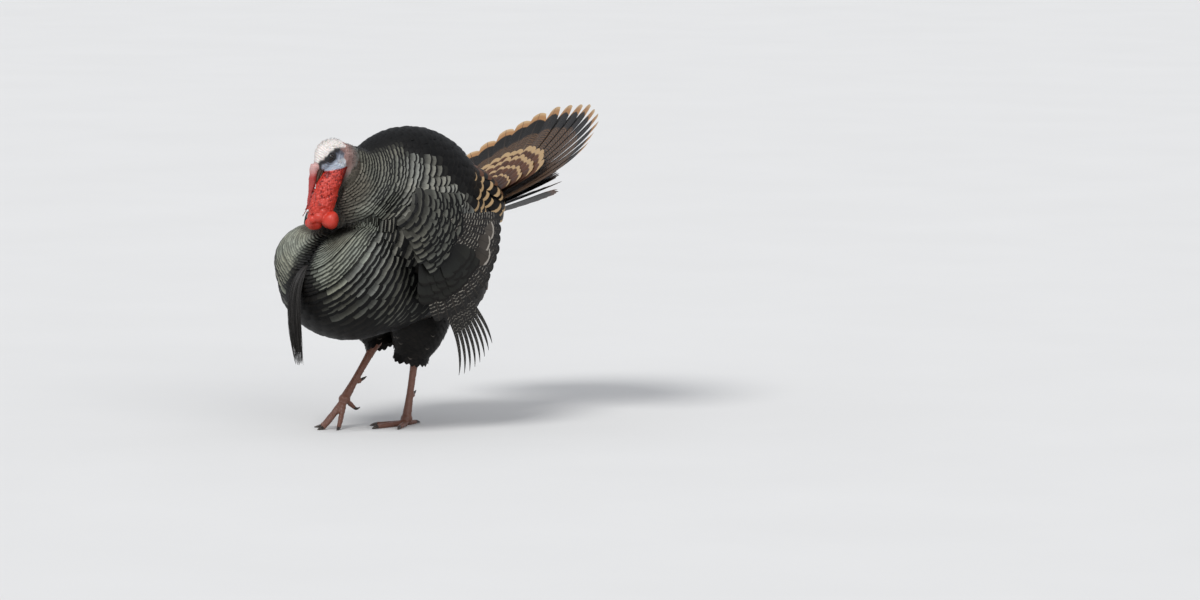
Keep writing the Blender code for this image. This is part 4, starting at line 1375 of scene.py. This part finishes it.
def thigh_axis(side_name):
    hock = HOCKS[side_name]
    top = hock + np.array((SIDES[side_name] * 0.042, -0.020, 0.120))
    low = hock + THIGH_HANG[side_name]
    return lambda t: bezier((top, (top + low) / 2 + np.array((0, 0.006, 0)), low), t)


def toe_path(side_name, heading, length):
    """The middle line of a toe: the left foot lies flat, and the right one slopes down to its toe tips."""
    side, root = SIDES[side_name], TOE_ROOTS[side_name]
    heading = math.radians(heading)
    ahead = np.array((side * math.sin(heading), -math.cos(heading), 0.0))
    lying = side_name == "left"

    def path(t):
        t = np.asarray(t, float)
        point = root + ahead * (length * t * (1.0 if lying else STEP_REACH))[..., None]
        if lying:
            height = TOE_LEVEL + (root[2] - TOE_LEVEL) * np.maximum(0.0, 1 - 3.5 * t) ** 2
        elif heading < math.pi / 2:
            height = TOE_LEVEL + (root[2] - TOE_LEVEL) * (1 - np.minimum(t, 1.0)) ** 1.15
        else:
            height = root[2] - 0.020 * t
        return np.concatenate([point[..., :2], height[..., None]], axis=-1)

    return path


def shank_axis(side_name):
    hock, root = HOCKS[side_name], TOE_ROOTS[side_name]
    ends = hock + np.array((0, 0, 0.02)), root + unit(hock - root) * 0.002
    return lambda t: bezier(ends, t)


def leg_parts(side_name):
    """The closed tubes of one shank and foot."""
    root = TOE_ROOTS[side_name]
    widths = (0.0108, 0.0104, 0.0086, 0.0074, 0.0068, 0.0067, 0.0070, 0.0082, 0.0100)
    depths = (0.0128, 0.0124, 0.0104, 0.0088, 0.0080, 0.0078, 0.0080, 0.0090, 0.0100)
    parts = [tube(shank_axis(side_name), widths, depths, 24, 40)]
    for _, heading, length, radius in TOES:
        path = toe_path(side_name, heading, length)
        shares = np.linspace(0, 1, 9)
        width = radius * (1.12 - 0.38 * shares) * (1 + 0.07 * np.cos(6 * math.pi * shares))
        parts.append(tube(path, width, width * 0.92, 16, 24, ends=0.6))
    parts.append(ball(root + np.array((0, 0, -0.001)), (0.0125, 0.0125, 0.0110)))
    inward = unit(np.array((-SIDES[side_name] * 0.30, 1.0, 0.15)))
    spur_base = root + 0.30 * (HOCKS[side_name] - root) + inward * 0.0060
    parts.append(ball(spur_base, (0.0062, 0.0080, 0.0064)))
    return parts


def plates(along, spacing):
    """0 in the middle of each plate of a row, and 1 on the lines between them."""
    return np.abs((along / spacing) % 1.0 - 0.5) * 2


def shape_leg(points, normals, side_name):
    """Plates across the front of the shank and the top of the toes, small scales elsewhere."""
    hock, root = HOCKS[side_name], TOE_ROOTS[side_name]
    lean = unit(hock - root)
    height = (points - root) @ lean
    lift = np.zeros(len(points))
    front = smooth(-0.1, 0.45, -(normals @ unit(np.array((0, 1.0, -lean[1] / lean[2])))))
    groove = smooth(0.80, 1.0, plates(height, 0.0062))
    shank = smooth(0.012, 0.020, height)
    lift -= shank * front * 0.0008 * groove
    lift += shank * (1 - front) * 0.00035 * wobble(points, 0.0028, 71)
    reach = np.hypot(points[:, 0] - root[0], points[:, 1] - root[1])
    toe_groove = smooth(0.75, 1.0, plates(reach, 0.0046))
    top = smooth(0.1, 0.6, normals[:, 2])
    lift -= (1 - shank) * top * 0.0007 * toe_groove
    lift += (1 - shank) * (1 - top) * 0.0003 * wobble(points, 0.0022, 72)
    return points + normals * lift[:, None]


# ---------------------------------------------------------------- the one skin


HEAD_CELL, LEG_CELL, BODY_CELL = 0.0010, 0.0014, 0.0050  # size of the skin's cells before it is thinned
SKIN_DEPTH = 0.012  # how far the skin lies under the outline of trunk and thighs


def body_skin_parts():
    """The trunk and thighs under the coat, inside the outline by its depth."""
    trunk = shell(NECK_POLE, TRUNK_FORMS)
    polar = np.linspace(0, math.pi, 50)[1:-1]
    turns = angle_steps(72)
    outline = trunk(polar[:, None], turns[None])
    away = np.linalg.norm(outline - CORE, axis=-1, keepdims=True)
    inner = CORE + (outline - CORE) * (1 - SKIN_DEPTH / away)
    ends = trunk(np.array((0, math.pi)), np.zeros(2))
    ends = CORE + (ends - CORE) * 0.93
    parts = [(np.concatenate([inner.reshape(-1, 3), ends]), capped(len(polar), len(turns))[:, ::-1])]
    for side_name in SIDES:
        widths = np.array(THIGH_WIDTHS) - SKIN_DEPTH
        depths = np.array(THIGH_DEPTHS) - SKIN_DEPTH
        parts.append(tube(thigh_axis(side_name), widths, depths, 40, 30, ends=0.25))
    return parts


def reshaped(obj, shaped):
    """Moves each point as shaped(points, normals) says, and halves the triangles."""
    move_points(obj, shaped(points_of(obj), vectors_of(obj.data.vertex_normals, "vector")))
    thin_out(obj, 0.50)
    return obj


def head_form():
    parts = [
        tube(head_axis, HEAD_WIDTHS, HEAD_DEPTHS, 32, 28, HEAD_LEFT, 0.55),
        tube(neck_axis, NECK_WIDTHS, NECK_DEPTHS, 36, 40),
        tube(throat_axis, THROAT_WIDTHS, THROAT_DEPTHS, 36, 30),
        tube(snood_axis, SNOOD_WIDTHS, np.array(SNOOD_WIDTHS) * 0.92, 18, 50),
        *(ball(centre, (radius,) * 3, 28, 20) for centre, radius in BULBS),
    ]
    return reshaped(merged("head_form", parts, HEAD_CELL, 4), shape_head)


def leg_form(side_name):
    form = merged(f"leg_form_{side_name}", leg_parts(side_name), LEG_CELL, 3)
    return reshaped(form, lambda points, normals: shape_leg(points, normals, side_name))


def skin(finish):
    head = head_form()
    whole = merged("body_form", body_skin_parts(), BODY_CELL, 2)
    others = [head, *(leg_form(side_name) for side_name in SIDES)]
    for other in others:
        join = whole.modifiers.new(f"join {other.name}", "BOOLEAN")
        join.operation = "UNION"
        join.solver = "MANIFOLD"
        join.object = other
    apply_modifiers(whole)
    whole.name = "skin"
    whole.data.name = "skin"
    for other in others:
        bpy.data.objects.remove(other)
    points = points_of(whole)
    points[:, 2] = np.maximum(points[:, 2], 0.0)
    move_points(whole, points)
    mark(whole, "tone", skin_tones(points))
    mark(whole, "groove_shade", painted_groove_shade(points))
    polar, turn = pole_angles(points, NECK_POLE)
    give_uv(whole, 0.02 + 0.96 * np.stack([turn / TURN + 0.5, polar / math.pi], axis=1))
    dress(
        whole,
        finish,
        "head_skin",
        *("head", "snood", "wattle", "neck", "trunk"),
        *(f"{part}_{side}" for part in ("thigh", "shank", "foot") for side in SIDES),
    )


def skin_tones(points):
    """The colour of bare skin at each point."""
    place = head_place(points)
    tones = np.tile(UNDER_COAT, (len(points), 1))
    on = (np.abs(place) < 0.07).all(axis=1)
    sided = np.concatenate([place[on, :2], np.abs(place[on, 2:])], axis=1)
    sites = [site for _, *near in HEAD_TONES for site in near]
    colours = [colour for colour, *near in HEAD_TONES for _ in near]
    tones[on] = blend_places(sided, sites, colours, 0.0028)
    height = points[:, 2]
    sleek = smooth(0.415, 0.440, height) * smooth(0.0, -0.03, points[:, 1])
    sleek *= smooth(0.068, 0.060, away_from(neck_axis, points))
    out, off = eye_distances(points)
    layers = (  # (how much of each colour lies over what is there)
        (sleek * (1 - on), NECK_SKIN),
        (on * smooth(0.034, 0.052, np.linalg.norm(place - (0, -0.006, 0), axis=1)), NECK_SKIN),
        # Round each eye the skin is darkened: partly the lids' own dark skin, partly painted shade of the
        # eye socket.
        (smooth(0.0115, 0.0085, off) * smooth(-0.012, -0.006, out), DARK_SKIN),
        (redness(points), RED_SKIN),
    )
    for share, colour in layers:
        tones += (np.array(colour) - tones) * share[:, None]
    red_part = 1 - smooth(0.528, 0.552, height)
    hanging = np.array(SNOOD_ROOT) + (np.array(SNOOD_RED) - SNOOD_ROOT) * red_part[:, None]
    hanging *= (0.35 + 0.65 * smooth(0.440, 0.475, height))[:, None]
    reach = 0.0075 + 0.0045 * smooth(0.515, 0.550, height)
    snood = smooth(0.0015, -0.0005, away_from(snood_axis, points) - reach) * smooth(0.566, 0.556, height)
    snood *= smooth(1.4, 1.6, bulb_share(points))
    tones += (hanging - tones) * snood[:, None]
    scales = np.array(LEG_SCALES) * (0.75 + 0.25 * smooth(0.0, 0.14, height))[:, None]
    near_leg = np.min([away_from(shank_axis(side_name), points) for side_name in SIDES], axis=0)
    leg = smooth(0.040, 0.030, near_leg) * smooth(0.235, 0.225, height)
    leg = np.maximum(leg, smooth(0.075, 0.070, height))
    return tones + (scales - tones) * leg[:, None]


def painted_groove_shade(points):
    """Painted shade in the grooves between the caruncles: 1 there, 0 elsewhere."""
    groove_shade = np.zeros(len(points))
    throat = redness(points) * smooth(1.3, 1.5, bulb_share(points))
    near = throat > 0.01
    groove_shade[near] = 1 - smooth(0.0004, 0.0026, domes(points[near], bump_sites()))
    return groove_shade * throat


# ---------------------------------------------------------------- eyes, bill, claws, spurs


def eyes(finish):
    for side_name, side in SIDES.items():
        centre = on_head(0.0, 0.0, side * EYE_OUT)
        points, faces = ball((0, 0, 0), (1, 1, 1), 40, 32)
        out = HEAD_LEFT * side
        gaze = np.arccos(np.clip(points[:, 2], -1, 1)) / math.pi
        domed = EYE_RADIUS * (1 + 0.05 * bell(gaze, 0, 0.16))
        ways = np.stack([FORWARD, np.cross(out, FORWARD), out])
        made = new_mesh(f"eyeball_{side_name}", centre + (points @ ways) * domed[:, None], faces)
        mark(made, "gaze", gaze)
        dress(made, finish, "eye", f"eye_{side_name}")


def horn_piece(name, points, faces, finish, slot, node):
    """A tube of horn, marked with the distance from its root."""
    made = new_mesh(name, points, faces)
    from_root = np.linalg.norm(points - points[-2], axis=1)
    mark(made, "along", from_root / from_root.max())
    dress(made, finish, slot, node)


BILL_WIDTHS = (0.0092, 0.0086, 0.0076, 0.0060, 0.0040, 0.0012)


def bill(finish):
    """The closed halves of the bill, with nostrils in the upper one."""
    for name, root, length, top, drop, depths in (
        ("lower", 0.0150, 0.044, 0.0024, 0.0062, (0.0012, 0.0018, 0.0026, 0.0028, 0.0020, 0.0008)),
        ("upper", 0.0150, 0.050, 0.0068, 0.0075, (0.0062, 0.0062, 0.0056, 0.0046, 0.0032, 0.0010)),
    ):
        def path(t):
            t = np.asarray(t, float)
            return on_head(root + length * t, top - 0.0040 * t - drop * t * t)

        points, faces = tube(path, BILL_WIDTHS, depths, 28, 30, HEAD_LEFT, 0.6)
        if name == "upper":
            place = head_place(points)
            nostril = np.hypot((place[:, 0] - 0.034) / 1.7, place[:, 1] - 0.0070) / 0.0016
            points = points - HEAD_LEFT * (np.sign(place[:, 2]) * 0.0016 * bell(nostril, 0, 1))[:, None]
        horn_piece(f"beak_{name}", points, faces, finish, "bill_horn", f"bill_{name}")


CLAW_LENGTH = 0.016
CLAW_TIP = 0.0015  # height of the tip's middle line over the floor


def claws(finish):
    for side_name in SIDES:
        for name, heading, length, radius in TOES:
            path = toe_path(side_name, heading, length)
            tip = path(1.0)
            along = unit(path(1.0) - path(0.9))
            start = tip + along * (0.2 * radius)
            flat = unit(np.array((along[0], along[1], 0)))
            on_floor = heading < 90 or side_name == "left"

            def claw(t):
                middle, end = start + along * (CLAW_LENGTH * 0.5), start + flat * CLAW_LENGTH * 0.9
                point = bezier((start, middle, end), t)
                if on_floor:
                    level = start[2] + (CLAW_TIP - start[2]) * np.asarray(t, float) ** 1.6
                    point = np.concatenate([point[..., :2], level[..., None]], axis=-1)
                return point

            widths = radius * np.array((0.58, 0.52, 0.42, 0.28, 0.10))
            depths = np.minimum(radius * np.array((0.60, 0.54, 0.44, 0.30, 0.12)), 0.0042)
            points, faces = tube(claw, widths, depths, 16, 18, np.cross(flat, (0, 0, 1.0)), 0.4)
            node = f"claw_{name}_{side_name}"
            horn_piece(f"nail_{name}_{side_name}", points, faces, finish, "dark_horn", node)


BRISTLES = 340
BEARD_SPREAD = 1.25  # how far the loose bristles stand out beyond the tuft's solid


def beard_axis(t):
    return bezier(((0, -0.205, 0.356), (0, -0.268, 0.325), (0, -0.250, 0.230), (0, -0.236, 0.148)), t)


def strands(name, paths, radii, sides, rings, finish, slot, nodes, seed):
    """Thin tapered tubes along these paths, one mesh."""
    parts, along, rand = [], [], []
    draw = np.random.default_rng(seed)
    for path, radius in zip(paths, radii):
        taper = radius * np.array((1.0, 1.0, 0.9, 0.7, 0.25))
        parts.append(tube(path, taper, taper, sides, rings, ends=0.3))
        along.append(np.concatenate([np.repeat(np.linspace(0, 1, rings), sides), (0.0, 1.0)]))
        rand.append(np.full(rings * sides + 2, draw.random()))
    made = new_mesh(name, *together(parts))
    mark(made, "along", np.concatenate(along))
    mark(made, "rand", np.concatenate(rand))
    dress(made, finish, slot, *nodes)


def beard(finish):
    draw = np.random.default_rng(81)
    paths, radii = [], []
    widths = (0.0050, 0.0085, 0.0110, 0.0130, 0.0135, 0.0120, 0.0080)
    depths = (0.0040, 0.0055, 0.0065, 0.0075, 0.0080, 0.0070, 0.0050)
    for _ in range(BRISTLES):
        turn, off = draw.uniform(0, TURN), math.sqrt(draw.uniform(0.0, 1.0))
        length = draw.uniform(0.72, 0.995)
        sway = draw.uniform(-0.002, 0.002, 2)

        def path(t, turn=turn, off=off, length=length, sway=sway):
            t = np.asarray(t, float)
            far = t * length
            middle = beard_axis(far)
            x = off * math.cos(turn) * curve(widths, far) * BEARD_SPREAD + sway[0] * np.sin(t * 5)
            y = off * math.sin(turn) * curve(depths, far) * BEARD_SPREAD + sway[1] * np.sin(t * 4)
            return middle + np.stack([x, y, np.zeros_like(x)], axis=-1)

        paths.append(path)
        radii.append(draw.uniform(0.00045, 0.0008))
    strands("beard_bristles", paths, radii, 5, 16, finish, "black_feathers", ["beard"], 82)


# ---------------------------------------------------------------- floor, light and camera


FLOOR_REACH = 90.0


def aim_at(obj, way):
    obj.rotation_euler = Vector(way).to_track_quat("-Z", "Y").to_euler()


def stage():
    floor_finish = Finish("floor", 0.9, 0.2)
    colour = floor_finish.mix(floor_finish.noise(2.0, 4.0), (0.66, 0.655, 0.64), (0.70, 0.695, 0.68))
    floor_finish.set(Base_Color=colour)
    corners = [(x * FLOOR_REACH, y * FLOOR_REACH, 0) for x, y in ((-1, -1), (1, -1), (1, 1), (-1, 1))]
    floor = new_mesh("floor", corners, [(0, 1, 2, 3)])
    floor.data.materials.append(floor_finish.material)
    world = bpy.data.worlds.new("studio")
    bpy.context.scene.world = world
    world.use_nodes = True
    background = world.node_tree.nodes["Background"]
    background.inputs["Color"].default_value = (0.90, 0.93, 1.0, 1)
    background.inputs["Strength"].default_value = 0.62
    for name, toward, strength, softness in (
        ("key", (-0.15, 0.75, -1.0), 2.0, 22),
        ("side", (-1.0, 0.25, -0.55), 0.7, 40),
    ):
        lamp = bpy.data.lights.new(name, "SUN")
        lamp.energy = strength
        lamp.angle = math.radians(softness)
        aim_at(show(name, lamp), toward)


CAMERA_TURN = math.radians(45)
CAMERA_RISE = math.radians(6)
CAMERA_AWAY = 12.0
SENSOR = 36.0  # millimetres
VIEW_WIDTH = 2.5  # metres across the picture at the bird
BIRD_LEFT, BIRD_LOW = 0.45, 0.2646  # how far the bird's origin stands left of and below the picture's middle


def camera():
    level = np.array((math.cos(CAMERA_TURN), math.sin(CAMERA_TURN), 0.0))
    ahead = np.array(
        (
            -math.sin(CAMERA_TURN) * math.cos(CAMERA_RISE),
            math.cos(CAMERA_TURN) * math.cos(CAMERA_RISE),
            -math.sin(CAMERA_RISE),
        )
    )
    upward = np.cross(level, ahead)
    aim = -CENTRE + level * BIRD_LEFT + upward * BIRD_LOW
    lens = bpy.data.cameras.new("camera")
    lens.sensor_width = SENSOR
    lens.lens = SENSOR * CAMERA_AWAY / VIEW_WIDTH
    made = show("camera", lens)
    made.location = aim - ahead * CAMERA_AWAY
    aim_at(made, ahead)
    bpy.context.scene.camera = made


def build():
    camera()
    stage()
    plumage = plumage_finish()
    skin(skin_finish())
    breast_coat(plumage)
    back_coat(plumage)
    thigh_coat(plumage)
    tail(tail_finish(), plumage)
    wings(flight_finish(), plumage)
    eyes(eye_finish())
    # The bill's horn is coloured dark partly as painted shade, for the deep shadow it lies in behind the
    # snood.
    bill(horn_finish("bill_horn", (0.040, 0.016, 0.012), (0.110, 0.070, 0.045)))
    dark_horn = horn_finish("dark_horn", (0.030, 0.020, 0.014), (0.055, 0.040, 0.030))
    claws(dark_horn)
    for side_name in SIDES:
        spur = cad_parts[f"spur_{side_name}"]
        spur.data.materials.clear()
        spur.data.materials.append(dark_horn)
    bristle = bristle_finish()
    beard(bristle)
    head_bristles(bristle)
    neck_down(plumage)


build()
bpy.context.scene.view_settings.view_transform = "Standard"
